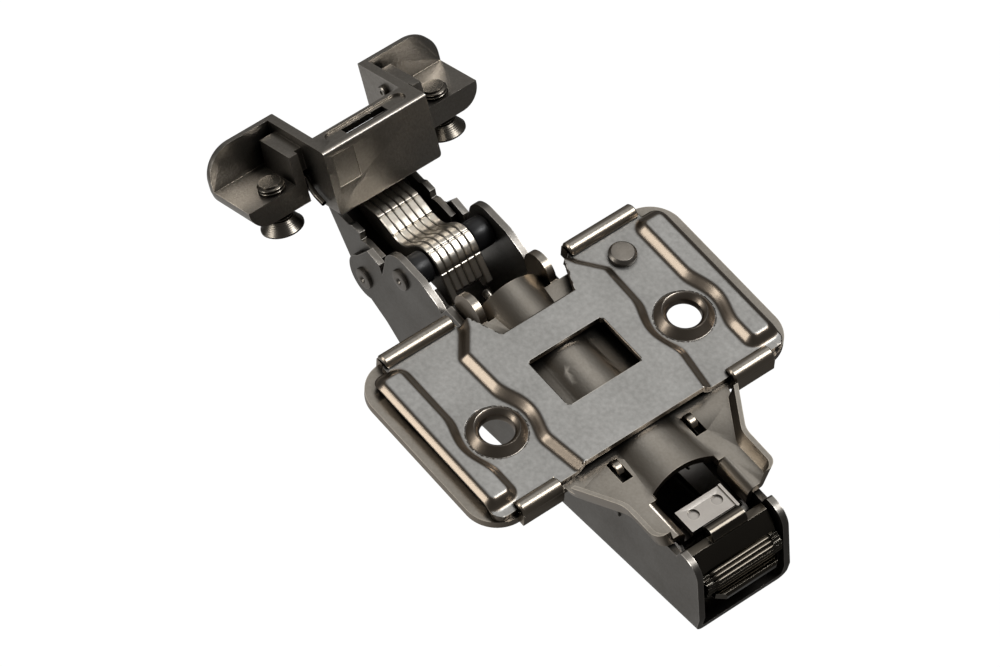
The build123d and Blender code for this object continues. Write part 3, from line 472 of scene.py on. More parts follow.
# ------------------------------------------------------------------ finishes
@dataclass(frozen=True)
class MetalFinish:
    """One plated or worn metal surface.

    Colours are base for open faces, dark for clouds and for painted shade in hollows and corners, edge for worn rims
    that also carry a painted highlight, and a painted tint for the reflection of pressed slopes.
    Reaches are in metres. rough runs from the smoothest to the roughest plating.
    """

    name: str
    base: Colour
    dark: Colour
    # edge colour: rubbed rims, and a painted highlight along every edge
    edge: Colour
    rough: Span
    # share of the painted shade in tight corners
    painted_corner_shade: float = 0.6
    cloud_scale: float = 120.0
    speckle_scale: float = 2600.0
    speckle: float = 0.25
    bump_mm: float = 0.004
    # share of the edge colour: real rubbing and a painted edge highlight
    rub_and_highlight_share: float = 0.7
    # share of the painted shade in wide hollows
    painted_hollow_shade: float = 0.75
    # painted reflection tint of tilted faces; the roughness below is real polish
    painted_slope_reflection: Colour | None = None
    polish_rough: float = 0.29
    flat_from: Span = (0.90, 0.985)
    edge_reach: float = 0.00022
    edge_break: float = 0.55
    edge_rough: float = 0.22
    # reach and tone of the painted shade in corners and hollows
    corner_reach: float = 0.0016
    corner_shade: float = 0.3
    hollow_reach: float = 0.008
    hollow_shade: float = 0.12

    def build(self) -> Look:
        """Material: plating colour clouded and speckled, painted shade in hollows and corners, bright broken edges of
        wear and painted highlight, a painted reflection tint on tilted faces, fine bump.

        Returns:
            The finished material.
        """
        mat, tree, shader = start_material(self.name)
        where = tree.nodes.new("ShaderNodeTexCoord").outputs["Object"]
        mottle = group_node(tree, Effect.MOTTLE, {"Vector": where}, {"Cloud Scale": self.cloud_scale,
                                                                     "Speckle Scale": self.speckle_scale})
        # edge mask: rubbed edges and a painted edge highlight
        rub_and_highlight_mask = group_node(tree, Effect.RUBBED_EDGE_AND_HIGHLIGHT, {"Vector": where}, {"Break": self.edge_break,
                                                                      "Reach": self.edge_reach})
        # painted shade: occlusion mask for tight corners
        painted_corner_shade = group_node(tree, Effect.PAINTED_SHADE, {}, {"Reach": self.corner_reach})
        amount = math_node(tree, "ADD", math_node(tree, "MULTIPLY", mottle.outputs["Cloud"], 1 - self.speckle),
                           math_node(tree, "MULTIPLY", mottle.outputs["Speckle"], self.speckle), True)
        plating = mix_colour(tree, amount, self.dark, self.base)
        rough = span_node(tree, amount, 0.0, 1.0, self.rough[1], self.rough[0])
        # painted reflection: tilted faces take their own tint, with smoother real polish
        if self.painted_slope_reflection:
            upright = tree.nodes.new("ShaderNodeSeparateXYZ")
            tree.links.new(tree.nodes.new("ShaderNodeTexCoord").outputs["Normal"], upright.inputs[0])
            flat = span_node(tree, math_node(tree, "ABSOLUTE", upright.outputs["Z"]), *self.flat_from)
            plating = mix_colour(tree, flat, self.painted_slope_reflection, plating)
            rough = mix_value(tree, flat, self.polish_rough, rough)
        # painted shade: occlusion mask for wide hollows, darkening the plating
        hollow = group_node(tree, Effect.PAINTED_SHADE, {}, {"Reach": self.hollow_reach})
        deep = math_node(tree, "MULTIPLY", hollow.outputs["Recess"], self.painted_hollow_shade)
        plating = mix_colour(tree, deep, plating, tuple(self.hollow_shade * c for c in self.dark))
        # painted shade darkens the tight corners
        shut = math_node(tree, "MULTIPLY", painted_corner_shade.outputs["Recess"], self.painted_corner_shade)
        shaded = mix_colour(tree, shut, plating, tuple(self.corner_shade * c for c in self.dark))
        # edge colour laid on: rubbed rims plus a painted highlight
        rim = math_node(tree, "MULTIPLY", rub_and_highlight_mask.outputs["Edge"], self.rub_and_highlight_share)
        tree.links.new(mix_colour(tree, rim, shaded, self.edge), shader.inputs["Base Color"])
        tree.links.new(mix_value(tree, rim, rough, self.edge_rough), shader.inputs["Roughness"])
        bump = tree.nodes.new("ShaderNodeBump")
        bump.inputs["Strength"].default_value = 1.0
        bump.inputs["Distance"].default_value = self.bump_mm * MM
        tree.links.new(mottle.outputs["Height"], bump.inputs["Height"])
        tree.links.new(bump.outputs[0], shader.inputs["Normal"])
        shader.inputs["Metallic"].default_value = 1.0
        return mat


@dataclass(frozen=True)
class PlasticFinish:
    """Moulded black plastic."""

    name: str
    base: Colour
    rough: float

    def build(self) -> Look:
        """Material: dark plastic with faint mould texture and uneven gloss.

        Returns:
            The finished material.
        """
        mat, tree, shader = start_material(self.name)
        where = tree.nodes.new("ShaderNodeTexCoord").outputs["Object"]
        mottle = group_node(tree, Effect.MOTTLE, {"Vector": where}, {"Cloud Scale": 400.0, "Speckle Scale": 4000.0})
        tone = mix_colour(tree, mottle.outputs["Cloud"], self.base, tuple(1.7 * c for c in self.base))
        tree.links.new(tone, shader.inputs["Base Color"])
        tree.links.new(span_node(tree, mottle.outputs["Speckle"], 0, 1, self.rough, self.rough + 0.14),
                       shader.inputs["Roughness"])
        return mat


def start_material(name: str) -> tuple[Look, Tree, bpy.types.Node]:
    """New node material.

    Args:
        name: the material's name.

    Returns:
        The material, its tree and its Principled shader.
    """
    mat = bpy.data.materials.new(name)
    mat.use_nodes = True
    tree = mat.node_tree
    return mat, tree, next(n for n in tree.nodes if n.type == "BSDF_PRINCIPLED")


def group_node(tree: Tree, effect: Effect, links: dict[str, Socket], values: dict[str, float]) -> bpy.types.Node:
    """Places a shared effect with its own links and values.

    Args:
        tree: the material's tree.
        effect: which group.
        links: input name to socket.
        values: input name to number.

    Returns:
        The group node.
    """
    node = tree.nodes.new("ShaderNodeGroup")
    node.node_tree = bpy.data.node_groups[effect.value]
    for name, socket in links.items():
        tree.links.new(socket, node.inputs[name])
    for name, value in values.items():
        node.inputs[name].default_value = value
    return node


def mix_colour(tree: Tree, factor: Socket, a: Tint, b: Tint) -> Socket:
    """Colour mix whose ends are sockets or fixed colours.

    Args:
        tree: the material's tree.
        factor: socket of the mask.
        a: colour at 0.
        b: colour at 1.

    Returns:
        The colour's socket.
    """
    node = tree.nodes.new("ShaderNodeMix")
    node.data_type = "RGBA"
    tree.links.new(factor, node.inputs["Factor"])
    for socket, value in ((node.inputs[6], a), (node.inputs[7], b)):
        if isinstance(value, tuple):
            socket.default_value = (*value, 1.0)
        else:
            tree.links.new(value, socket)
    return node.outputs[2]


def mix_value(tree: Tree, factor: Feed, a: Feed, b: Feed) -> Socket:
    """Number mix whose factor and ends are sockets or numbers.

    Args:
        tree: the material's tree.
        factor: mask or share.
        a: value at 0.
        b: value at 1.

    Returns:
        The value's socket.
    """
    node = tree.nodes.new("ShaderNodeMix")
    for socket, value in zip(node.inputs[:1] + node.inputs[2:4], (factor, a, b)):
        if isinstance(value, (int, float)):
            socket.default_value = value
        else:
            tree.links.new(value, socket)
    return node.outputs[0]


# The corner and hollow shares paint shade, the slope tint paints a reflection, and the edge colour is wear with a
# painted highlight.
PLATE_GREY = MetalFinish("plate_grey", (0.53, 0.525, 0.51), (0.37, 0.365, 0.35), (0.78, 0.73, 0.64), (0.36, 0.44),
                         painted_corner_shade=0.85, speckle=0.5, speckle_scale=1500.0, painted_slope_reflection=(0.34, 0.285, 0.23))
SLIDE_GREY = MetalFinish("slide_grey", (0.36, 0.335, 0.30), (0.27, 0.245, 0.21), (0.72, 0.64, 0.53), (0.26, 0.36),
                         painted_corner_shade=0.8, speckle=0.35, painted_slope_reflection=(0.43, 0.37, 0.30))
DARK_STEEL = MetalFinish("dark_steel", (0.27, 0.255, 0.235), (0.20, 0.185, 0.165), (0.70, 0.66, 0.60), (0.32, 0.42),
                         painted_corner_shade=0.8, speckle=0.3, rub_and_highlight_share=0.8)
PIN_STEEL = MetalFinish("pin_steel", (0.34, 0.31, 0.28), (0.24, 0.22, 0.19), (0.7, 0.66, 0.6), (0.28, 0.4),
                        speckle=0.3)
DIE_CAST = MetalFinish("die_cast", (0.47, 0.44, 0.40), (0.35, 0.32, 0.28), (0.88, 0.82, 0.73), (0.28, 0.38),
                       painted_corner_shade=0.8, painted_hollow_shade=0.9, cloud_scale=160.0, speckle=0.6, bump_mm=0.012, rub_and_highlight_share=0.95,
                       edge_reach=0.0002)
BRIGHT_NICKEL = MetalFinish("bright_nickel", (0.82, 0.77, 0.69), (0.70, 0.64, 0.55), (0.9, 0.87, 0.8), (0.26, 0.34),
                            painted_corner_shade=0.75, speckle=0.2, bump_mm=0.001, rub_and_highlight_share=0.4)
LEAF_NICKEL = MetalFinish("leaf_nickel", (0.62, 0.59, 0.55), (0.54, 0.5, 0.46), (0.85, 0.8, 0.72), (0.34, 0.44),
                          painted_corner_shade=0.5)
BLACK_NICKEL = MetalFinish("black_nickel", (0.13, 0.115, 0.095), (0.09, 0.08, 0.065), (0.6, 0.57, 0.5), (0.13, 0.22),
                           painted_corner_shade=0.3, speckle=0.15, bump_mm=0.001, rub_and_highlight_share=0.5)
SCREW_STEEL = MetalFinish("screw_steel", (0.30, 0.275, 0.24), (0.2, 0.18, 0.15), (0.7, 0.64, 0.55), (0.22, 0.3),
                          painted_corner_shade=0.5, speckle=0.2)
HIDDEN_ZINC = MetalFinish("hidden_zinc", (0.55, 0.52, 0.47), (0.45, 0.42, 0.38), (0.8, 0.76, 0.7), (0.32, 0.45))
BLACK_ACETAL = PlasticFinish("black_acetal", (0.012, 0.012, 0.013), 0.3)


# ------------------------------------------------------------------ mounting plates
def smooth_step(value: Array, lo: float, hi: float) -> Array:
    """Cubic step from 0 at lo to 1 at hi."""
    t = np.clip((value - lo) / (hi - lo), 0, 1)
    return t * t * (3 - 2 * t)


def press_ramp(value: Array, lo: float, hi: float, shoulder: float) -> Array:
    """Straight ramp from 0 at lo to 1 at hi, each end rounded over a share of its length.

    With g(x) = (x + w)^2 / 4w inside |x| < w, 0 below and x above, the ramp is g(u) - g(u - 1).

    Args:
        value: distances across the ramp.
        lo: where it starts.
        hi: where it ends.
        shoulder: w, the rounded share at each end.

    Returns:
        The ramp's height, from 0 to 1.
    """
    def knee(x: Array) -> Array:
        """Zero, then a parabola, then the line y = x."""
        return np.where(np.abs(x) < shoulder, (x + shoulder) ** 2 / (4 * shoulder), np.maximum(x, 0))
    u = (value - lo) / (hi - lo)
    return knee(u) - knee(u - 1)


def polygon_distance(points: Array, corners: Array) -> Array:
    """Signed distance to a closed polygon, negative inside.

    Args:
        points: (n, 2) points.
        corners: (m, 2) corners in order.

    Returns:
        (n,) distances.
    """
    a, b = corners[None], np.roll(corners, -1, 0)[None]
    p = points[:, None]
    along = np.clip(np.sum((p - a) * (b - a), -1) / np.sum((b - a) ** 2, -1), 0, 1)
    near = np.min(np.linalg.norm(p - a - along[..., None] * (b - a), axis=-1), 1)
    up = (a[..., 1] > p[..., 1]) != (b[..., 1] > p[..., 1])
    cross = (b[..., 0] - a[..., 0]) * (p[..., 1] - a[..., 1]) / (b[..., 1] - a[..., 1] + 1e-12) + a[..., 0]
    inside = np.sum(up & (p[..., 0] < cross), 1) % 2 == 1
    return np.where(inside, -near, near)


def box_distance(points: Array, x: Span, y: Span, radius: float) -> Array:
    """Signed distance to a rectangle with rounded corners, negative inside.

    Args:
        points: (n, 2) points.
        x: both ends along x.
        y: both ends along y.
        radius: corner radius.

    Returns:
        (n,) distances.
    """
    mid = np.array([sum(x) / 2, sum(y) / 2])
    half = np.array([x[1] - x[0], y[1] - y[0]]) / 2 - radius
    q = np.abs(points - mid) - half
    return np.linalg.norm(np.maximum(q, 0), axis=1) + np.minimum(np.max(q, 1), 0) - radius


def soft_min(a: Array, b: Array, blend: float) -> Array:
    """Smaller of two distances with a rounded valley between them."""
    h = np.clip(0.5 + 0.5 * (b - a) / blend, 0, 1)
    return b + (a - b) * h - blend * h * (1 - h)


@dataclass
class StampedPlate:
    """Fixed sheet: a height field over its plan, with slopes rounded as a press leaves them."""

    thickness: float = 0.95
    emboss: float = 1.28
    x: Span = (-16.4, 11.3)
    half_y: float = 24.6
    tab_x: float = -17.6
    tab_y: Span = (9.7, 21.8)
    screw_y: float = 16.0
    hole: float = 2.4
    eye: Span = (3.08, 4.2)
    sink: float = 0.66
    slope: float = 1.05
    scoop: float = 5.85
    middle: tuple = ((-21.6, 6.2), (-15.1, 9.2), (-11.8, 11.8), (4.5, 11.3), (16.4, 9.6))
    rib_x: Span = (-15.0, 8.9)
    rib_y: Span = (20.7, 23.9)
    notch: tuple = ((-18.6, 9.2), (-15.1, 7.7), (-11.5, 6.24))
    window: tuple = ((-5.9, 3.0), (-6.3, 6.3), 0.6)
    corner: float = 1.5
    tab_corner: float = 0.3
    rib_corner: float = 0.8
    waist_blend: float = 1.6
    shoulder: float = 0.36
    cell: float = 0.18
    probe: float = 0.02

    def plan_distance(self, p: Array) -> Array:
        """Signed distance to the sheet's plan: body and tabs, less notch, window and screw holes.

        Args:
            p: (n, 2) points in millimetres.

        Returns:
            (n,) distances, negative on the sheet.
        """
        q = np.stack([p[:, 0], np.abs(p[:, 1])], 1)
        body = box_distance(p, self.x, (-self.half_y, self.half_y), self.corner)
        tab = box_distance(q, (self.tab_x, self.x[0] + 2), self.tab_y, self.tab_corner)
        notch = np.array([*self.notch, (self.notch[-1][0], -1), (self.notch[0][0], -1)])
        holes = [box_distance(p, *self.window),
                 np.linalg.norm(q - [0, self.screw_y], axis=1) - self.eye[1] - 0.02,
                 polygon_distance(q, notch)]
        return np.max([np.minimum(body, tab), *(-h for h in holes)], 0)

    def height(self, p: Array) -> Array:
        """Top face: raised middle and ribs fall to the field over a rounded slope, scooped round each eyelet.

        Args:
            p: (n, 2) points in millimetres.

        Returns:
            (n,) heights, 0 on the raised areas.
        """
        q = np.stack([p[:, 0], np.abs(p[:, 1])], 1)
        middle = polygon_distance(q, np.array([*self.middle, (self.middle[-1][0], -9), (self.middle[0][0], -9)]))
        rib = box_distance(q, self.rib_x, self.rib_y, self.rib_corner)
        scoop = self.scoop - np.linalg.norm(q - [0, self.screw_y], axis=1)
        middle = -soft_min(-middle, -scoop, self.waist_blend)
        rib = -soft_min(-rib, -scoop, self.waist_blend)
        raised = 1 - press_ramp(np.minimum(middle, rib), -0.1, self.slope, self.shoulder)
        return self.emboss * (raised - 1)

    def eyelet(self, name: str, side: int) -> bpy.types.Object:
        """Turned ring: steep cone up to a narrow rim, countersink down to the screw hole, sheet thickness below.

        Args:
            name: the ring's name.
            side: -1 or 1 along y.

        Returns:
            The closed ring.
        """
        (top, foot), low, t = self.eye, -self.emboss, self.thickness
        profile = [(foot + 0.1, low), (foot, low), (foot - 0.08, low + 0.04), (top + 0.14, -0.06), (top + 0.04, 0),
                   (top - 0.06, -0.03), (self.hole + 0.06, -self.sink), (self.hole, -self.sink - 0.1),
                   (self.hole, low - t + 0.4), (top, low - t + 0.1), (foot + 0.1, low - t), (foot + 0.1, low)]
        return lathe(name, np.array(profile), (0, side * self.screw_y, 0), (0, 0, 1), 96)

    def build(self, finish: Look) -> bpy.types.Object:
        """Grid of cells kept inside the plan, its border moved onto the outline, given the sheet's thickness.

        Each point near the border moves against the distance's slope by the distance, three times over.

        Args:
            finish: the plate's look.

        Returns:
            The sheet; both eyelets are made with it.
        """
        xs = np.arange(self.tab_x - 2 * self.cell, self.x[1] + 2 * self.cell, self.cell)
        ys = np.arange(-self.half_y - 2 * self.cell, self.half_y + 2 * self.cell, self.cell)
        gx, gy = np.meshgrid(xs, ys, indexing="ij")
        p = np.stack([gx.ravel(), gy.ravel()], 1)
        for _ in range(3):
            d = self.plan_distance(p)
            near = np.abs(d) < 0.62 * self.cell
            step = self.probe
            slope = np.stack([(self.plan_distance(p + [step, 0]) - self.plan_distance(p - [step, 0])),
                              (self.plan_distance(p + [0, step]) - self.plan_distance(p - [0, step]))], 1)
            slope /= np.maximum(np.linalg.norm(slope, axis=1, keepdims=True), 1e-6)
            p = np.where(near[:, None], p - slope * d[:, None], p)
        inside = self.plan_distance(p) < 0.03
        quads = grid_faces(len(xs), len(ys), False, False)
        quads = quads[inside[quads].all(1)]
        used, packed = np.unique(quads, return_inverse=True)
        points = np.column_stack([p[used], self.height(p[used])])
        sheet = new_object("fixed_sheet", points * MM, packed.reshape(quads.shape))
        wall = sheet.modifiers.new("sheet_thickness", "SOLIDIFY")
        wall.thickness = self.thickness * MM
        wall.offset = -1.0
        wall.use_even_offset = False     # even offsets spike where the outline turns sharply
        edge = sheet.modifiers.new("rolled_edges", "BEVEL")
        edge.width, edge.segments = 0.1 * MM, 2
        edge.limit_method, edge.angle_limit = "ANGLE", radians(55)
        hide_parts("base_plate")
        pieces = [sheet, self.eyelet("eyelet_left", -1), self.eyelet("eyelet_right", 1)]
        for piece in pieces:
            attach(piece, "plate")
            piece.data.materials.append(finish)
        return sheet


# ------------------------------------------------------------------ links
@dataclass
class LaminatedLink:
    """Inner link: stamped blanks side by side, each with chamfered rims, a hump over the bush and a cam tail."""

    count: int = 6
    pitch: float = 7.0 / 6
    gap: float = 0.05
    eye: Span = (-48.322, -6.194)
    tails: tuple = ((-25.1, -10.4), (-26.0, -9.45))
    grooves: tuple = (-41.85, -38.7, -31.0, -28.15)
    back: tuple = ((-44.4, -9.35), (-42.4, -8.9), (-40.4, -9.15), (-37.9, -9.62), (-35.9, -8.95), (-34.2, -7.0),
                   (-33.0, -5.85), (-31.2, -5.2), (-29.2, -5.95), (-27.6, -7.75))
    belly: tuple = ((-28.6, -11.1), (-33.4, -11.1), (-37.0, -12.6), (-43.0, -12.6), (-47.3, -11.3))
    neck: tuple = ((-46.9, -9.0), (-46.1, -9.8))
    eye_radius: float = 1.4
    steps: int = 240
    groove_half: float = 0.11
    groove_depth: float = 0.16
    chamfer: float = 0.16

    def outline(self, tail: Span) -> Array:
        """Side view of one blank: smooth back through its key heights, straight underside, round eye.

        The eye is centre + r * (cos t, sin t) for t from 200 down to -25 degrees.

        Args:
            tail: tip of the cam tail, x and z.

        Returns:
            (n, 2) corners, the back's steps first.
        """
        keys = np.array(self.back)
        knots = np.linspace(0, 1, len(keys))
        fine = np.linspace(0, 1, self.steps)
        back = np.stack([smooth_curve(knots, keys[:, k], fine) for k in (0, 1)], 1)
        x, z = tail
        tip = [(x, z), (x - 0.25, z - 0.9), (x - 0.9, z - 1.7)]
        t = np.radians(np.linspace(200, -25, 14))
        eye = np.stack([self.eye[0] + self.eye_radius * np.cos(t), self.eye[1] + self.eye_radius * np.sin(t)], 1)
        return np.concatenate([back, tip, self.belly, eye, self.neck])

    def build(self, finish: Look) -> list[bpy.types.Object]:
        """Builds every lamination; each groove lowers the back by depth * exp(-((x - groove) / half)^2).

        Args:
            finish: the link's look.

        Returns:
            The laminations from -y to +y.
        """
        made = []
        for i in range(self.count):
            y0 = (i - self.count / 2) * self.pitch + self.gap / 2
            tail = self.tails[0 if i in (0, self.count - 1) else 1]
            side = self.outline(tail)
            groove = np.exp(-((side[:self.steps, :1] - self.grooves) / self.groove_half) ** 2).sum(1)
            dip = np.zeros(len(side))
            dip[:self.steps] = self.groove_depth * groove
            piece = blank(f"lamination_{i + 1}", side, y0, y0 + self.pitch - self.gap, self.chamfer, dip)
            piece.data.materials.append(finish)
            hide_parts(f"link_plate_{i + 1}")
            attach(piece, "inner_link")
            made.append(piece)
        return made


def smooth_curve(knots: Array, values: Array, at: Array) -> Array:
    """Cubic through given values with slopes from their neighbours.

    Args:
        knots: increasing parameters.
        values: value at each knot.
        at: parameters to evaluate.

    Returns:
        The curve's values.
    """
    slope = np.gradient(values, knots)
    i = np.clip(np.searchsorted(knots, at, side="right") - 1, 0, len(knots) - 2)
    h = knots[i + 1] - knots[i]
    t = (at - knots[i]) / h
    return ((2 * t ** 3 - 3 * t ** 2 + 1) * values[i] + (t ** 3 - 2 * t ** 2 + t) * h * slope[i]
            + (3 * t ** 2 - 2 * t ** 3) * values[i + 1] + (t ** 3 - t ** 2) * h * slope[i + 1])


@dataclass
class ClosingSpring:
    """Double torsion spring: legs from round tips, two coils on the pin, and a bridge on the web."""

    centre: Span = (-21.5, -17.2)
    tip: Span = (-26.4, -13.9)
    tip_y: float = 3.03
    coil: float = 2.7
    wire: float = 0.5
    turns: float = 2.25
    pitch: float = 1.06
    foot_z: float = -23.0
    tip_swell: float = 0.25
    tip_length: float = 0.75

    def half_path(self) -> Array:
        """Leg, then coil: radius fixed, turning while y grows, then down to the web and inwards.

        Returns:
            (n, 3) points in millimetres from the tip to the middle of the bridge.
        """
        c, e = np.array(self.centre), np.array(self.tip)
        reach = np.linalg.norm(e - c)
        start = atan2(*(e - c)[::-1]) - np.arccos(self.coil / reach)
        t = np.linspace(0, self.turns, 110)
        a = start - 2 * pi * t
        coil = np.stack([c[0] + self.coil * np.cos(a), self.tip_y + self.pitch * t, c[1] + self.coil * np.sin(a)], 1)
        leg = np.linspace([e[0], self.tip_y, e[1]], coil[0], 14)[:-1]
        end = coil[-1]
        foot = np.array([end, end - [0, 0.1, 1.2], [end[0], end[1] - 0.6, self.foot_z + 0.25],
                         [end[0], end[1] - 1.6, self.foot_z], [end[0], 0.4, self.foot_z]])
        s = np.linspace(0, 1, len(foot))
        bend = np.stack([smooth_curve(s, foot[:, k], np.linspace(0, 1, 30)) for k in range(3)], 1)[1:]
        return np.concatenate([leg, coil, bend])

    def build(self, finish: Look) -> bpy.types.Object:
        """One wire along the half path and its mirror image.

        Near each end the radius grows by swell * sqrt(1 - ((s - l) / l)^2), s along the wire, l the tip's length.

        Args:
            finish: the wire's look.

        Returns:
            The spring.
        """
        half = self.half_path()
        path = np.concatenate([half, (half * [1, -1, 1])[::-1]])
        t = np.linalg.norm(np.diff(path, axis=0), axis=1).cumsum()
        s = np.concatenate([[0], t])
        near = np.minimum(s, s[-1] - s)
        bulge = np.sqrt(np.clip(1 - ((near - self.tip_length) / self.tip_length) ** 2, 0, 1))
        radius = self.wire + self.tip_swell * bulge
        radius = np.where(near < 1e-9, 0.02, radius)
        piece = tube("spring_wire", path, radius, np.array([0.8, 0.55, 0.2]))
        piece.data.materials.append(finish)
        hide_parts("closing_spring")
        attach(piece, "arm_body")
        return piece


# ------------------------------------------------------------------ pins, bushes, screws
@dataclass
class ArmPins:
    """Riveted pins across the arm, each head domed with a staked centre."""

    half_y: float = 7.8
    pins: dict = field(default_factory=lambda: {"arm_pin_outer": (-39.1, -16.3), "arm_pin_inner": (-31.2, -8.05)})
    radius: float = 1.25
    head: float = 1.65
    height: float = 0.5

    def build(self, finish: Look) -> None:
        """Turns each pin from end to end as one profile.

        Args:
            finish: the pins' look.
        """
        y, h, r = self.half_y + 0.01, self.height, self.head
        end = np.array([(0, y + h - 0.3), (0.3, y + h - 0.28), (0.55, y + h - 0.04), (0.72, y + h), (r - 0.25, y + h),
                        (r - 0.08, y + h - 0.08), (r, y + h - 0.25), (r, y), (self.radius, y)])
        profile = np.concatenate([end * [1, -1], end[::-1]])
        for node, (x, z) in self.pins.items():
            piece = lathe(node.replace("arm_pin", "rivet"), profile, (x, 0, z), (0, 1, 0))
            piece.data.materials.append(finish)
            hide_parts(node)
            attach(piece, "arm_body")


@dataclass
class Bushes:
    """Black spacers beside the inner link, with rounded rims."""

    pin: Span = (-31.2, -8.05)
    outer: float = 2.35
    inner: float = 1.3
    y: Span = (3.65, 6.7)

    def build(self, finish: Look) -> None:
        """Turns a closed ring section for each side.

        Args:
            finish: the bushes' look.
        """
        (y0, y1), r, c = self.y, self.outer, 0.28
        ring = np.array([(self.inner, y0), (r - c, y0), (r - 0.08, y0 + 0.08), (r, y0 + c), (r, y1 - c),
                         (r - 0.08, y1 - 0.08), (r - c, y1), (self.inner, y1), (self.inner, y0)])
        for side, name in ((-1, "left"), (1, "right")):
            piece = lathe(f"spacer_{name}", ring * [1, side], (self.pin[0], 0, self.pin[1]), (0, 1, 0))
            piece.data.materials.append(finish)
            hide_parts(f"bush_{name}")
            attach(piece, "arm_body")


@dataclass
class DoorBlock:
    """Die-cast block with its two clamping screws and the short wire beside the hood.

    Its own coordinates are e across the hood, y along the pins and d down into the door, in millimetres.
    """

    origin: Span = (-47.94, 3.19)
    turn: float = 24.24
    screw_e: float = -7.5
    screw_y: float = 14.06
    screw_d: Point = (4.6, 10.3, 11.9)
    shank: float = 1.95
    head: float = 3.1
    thread_pitch: float = 0.5
    thread_depth: float = 0.38
    # painted shade: dark block under the roof slot, where there is only shade
    slot_shade_block: tuple = ((-4.3, -0.9), (-5.2, 5.2), (2.0, 2.3))
    panels: tuple = (((-7.5, -4.0), (1.2, 6.3)),)
    panel_depth: float = 0.1
    edge_width: float = 0.28
    edge_steps: int = 3
    knob_at: Span = (-8.75, 2.2)
    knob_radius: float = 0.95
    knob_y: Span = (6.75, 7.5)
    wire: tuple = ((-7.9, -9.3, 5.9), (-6.2, -9.4, 6.1), (-5.4, -9.4, 7.2), (-4.2, -9.4, 8.3), (-2.6, -9.4, 9.0))
    wire_radius: float = 0.42

    def world(self, e: float, y: float, d: float) -> Array:
        """Point of the block's own coordinates in the row frame: origin + e * (cos, sin) + d * (sin, -cos).

        Args:
            e: across the hood.
            y: along the pins.
            d: down into the door.

        Returns:
            x, y and z in millimetres.
        """
        t = radians(self.turn)
        return np.array([self.origin[0] + e * cos(t) + d * sin(t), y, self.origin[1] + e * sin(t) - d * cos(t)])

    def brick(self, name: str, e: Span, y: Span, d: Span) -> bpy.types.Object:
        """Box between two values of each of the block's own coordinates.

        Args:
            name: the box's name.
            e: both ends across the hood.
            y: both ends along the pins.
            d: both ends down into the door.

        Returns:
            The closed box.
        """
        corners = np.array([self.world(a, b, c) for a in e for b in y for c in d])
        faces = [(0, 1, 3, 2), (4, 6, 7, 5), (0, 4, 5, 1), (2, 3, 7, 6), (0, 2, 6, 4), (1, 5, 7, 3)]
        return outward(new_object(name, corners * MM, faces))

    def screw(self, name: str, side: int, finish: Look) -> None:
        """Turned screw: rolled thread crests at the tip, a flared cone and a rim with fine turning steps.

        Along the shank the radius is shank - depth / 2 * (1 - cos(2 pi d / pitch)), drawn in at the tip.

        Args:
            name: left or right.
            side: -1 or 1 along y.
            finish: the screw's look.
        """
        tip, neck, rim = self.screw_d
        z = np.linspace(tip, neck, 150)
        half = self.thread_depth / 2
        crest = self.shank - half + half * np.cos(2 * pi * (z - tip) / self.thread_pitch)
        crest -= 0.35 * smooth_step(tip + 0.4 - z, 0, 0.4)
        shank = np.stack([np.minimum(crest, self.shank), z], 1)
        w = np.linspace(0, 1, 26)[1:]
        steps = 0.03 * np.cos(2 * pi * w * 7)
        flare = self.shank + (self.head - self.shank) * w ** 1.15 + steps * (1 - w)
        cone = np.stack([flare, neck + (rim - neck) * w], 1)
        flat = [(self.head, rim + 0.25), (self.head - 0.12, rim + 0.35), (1.6, rim + 0.35), (1.1, rim - 0.6),
                (0, rim - 0.8)]
        profile = np.concatenate([[(0, tip)], shank, cone, flat])
        down = self.world(0, 0, 1) - self.world(0, 0, 0)
        piece = lathe(f"clamp_screw_{name}", profile, self.world(self.screw_e, side * self.screw_y, 0), down, 64)
        piece.data.materials.append(finish)
        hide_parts(f"door_screw_{name}")
        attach(piece, "door_block")

    def knob(self) -> bpy.types.Object:
        """Turned boss on the inner wall of the right wing, with a small dimple.

        Returns:
            The boss.
        """
        (e, d), r, (y0, y1) = self.knob_at, self.knob_radius, self.knob_y
        profile = np.array([(0, y1), (r, y1), (r, y0 + 0.15), (r - 0.15, y0), (0.35, y0), (0.3, y0 + 0.2),
                            (0, y0 + 0.2)])
        piece = lathe("wing_knob", profile, self.world(e, 0, d), (0, 1, 0), 32)
        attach(piece, "door_block")
        return piece

    def pin_wire(self) -> bpy.types.Object:
        """Short wire outside the hood: a smooth curve through its points, which are e, y and d.

        Returns:
            The wire.
        """
        keys = np.array(self.wire)
        knots, fine = np.linspace(0, 1, len(keys)), np.linspace(0, 1, 24)
        bend = np.stack([smooth_curve(knots, keys[:, k], fine) for k in range(3)], 1)
        path = np.array([self.world(*row) for row in bend])
        return tube("pin_wire", path, self.wire_radius, np.array([0, 1.0, 0]))

    def build(self, cast: Look, screw: Look, dark: Look) -> None:
        """Casting with softened edges, a dark block under the roof slot that paints its shade, knob, wire and both
        screws.

        Args:
            cast: look of the casting.
            screw: look of the screws and the wire.
            dark: look of the block that paints the slot's shade.
        """
        panels = tuple(self.brick(f"panel_{i}", (-self.panel_depth, 1.0), y, d)
                       for i, (y, d) in enumerate(self.panels))
        block = softened("door_block_casting", "cup_housing", self.edge_width, self.edge_steps, tools=panels)
        # painted shade: dark block that makes the roof slot look deep
        floor = self.brick("slot_shade_block", *self.slot_shade_block)
        floor.data.materials.append(dark)
        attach(floor, "door_block")
        for piece in (block, self.knob()):
            piece.data.materials.append(cast)
        wire = self.pin_wire()
        wire.data.materials.append(screw)
        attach(wire, "door_block")
        for side, name in ((-1, "left"), (1, "right")):
            self.screw(name, side, screw)


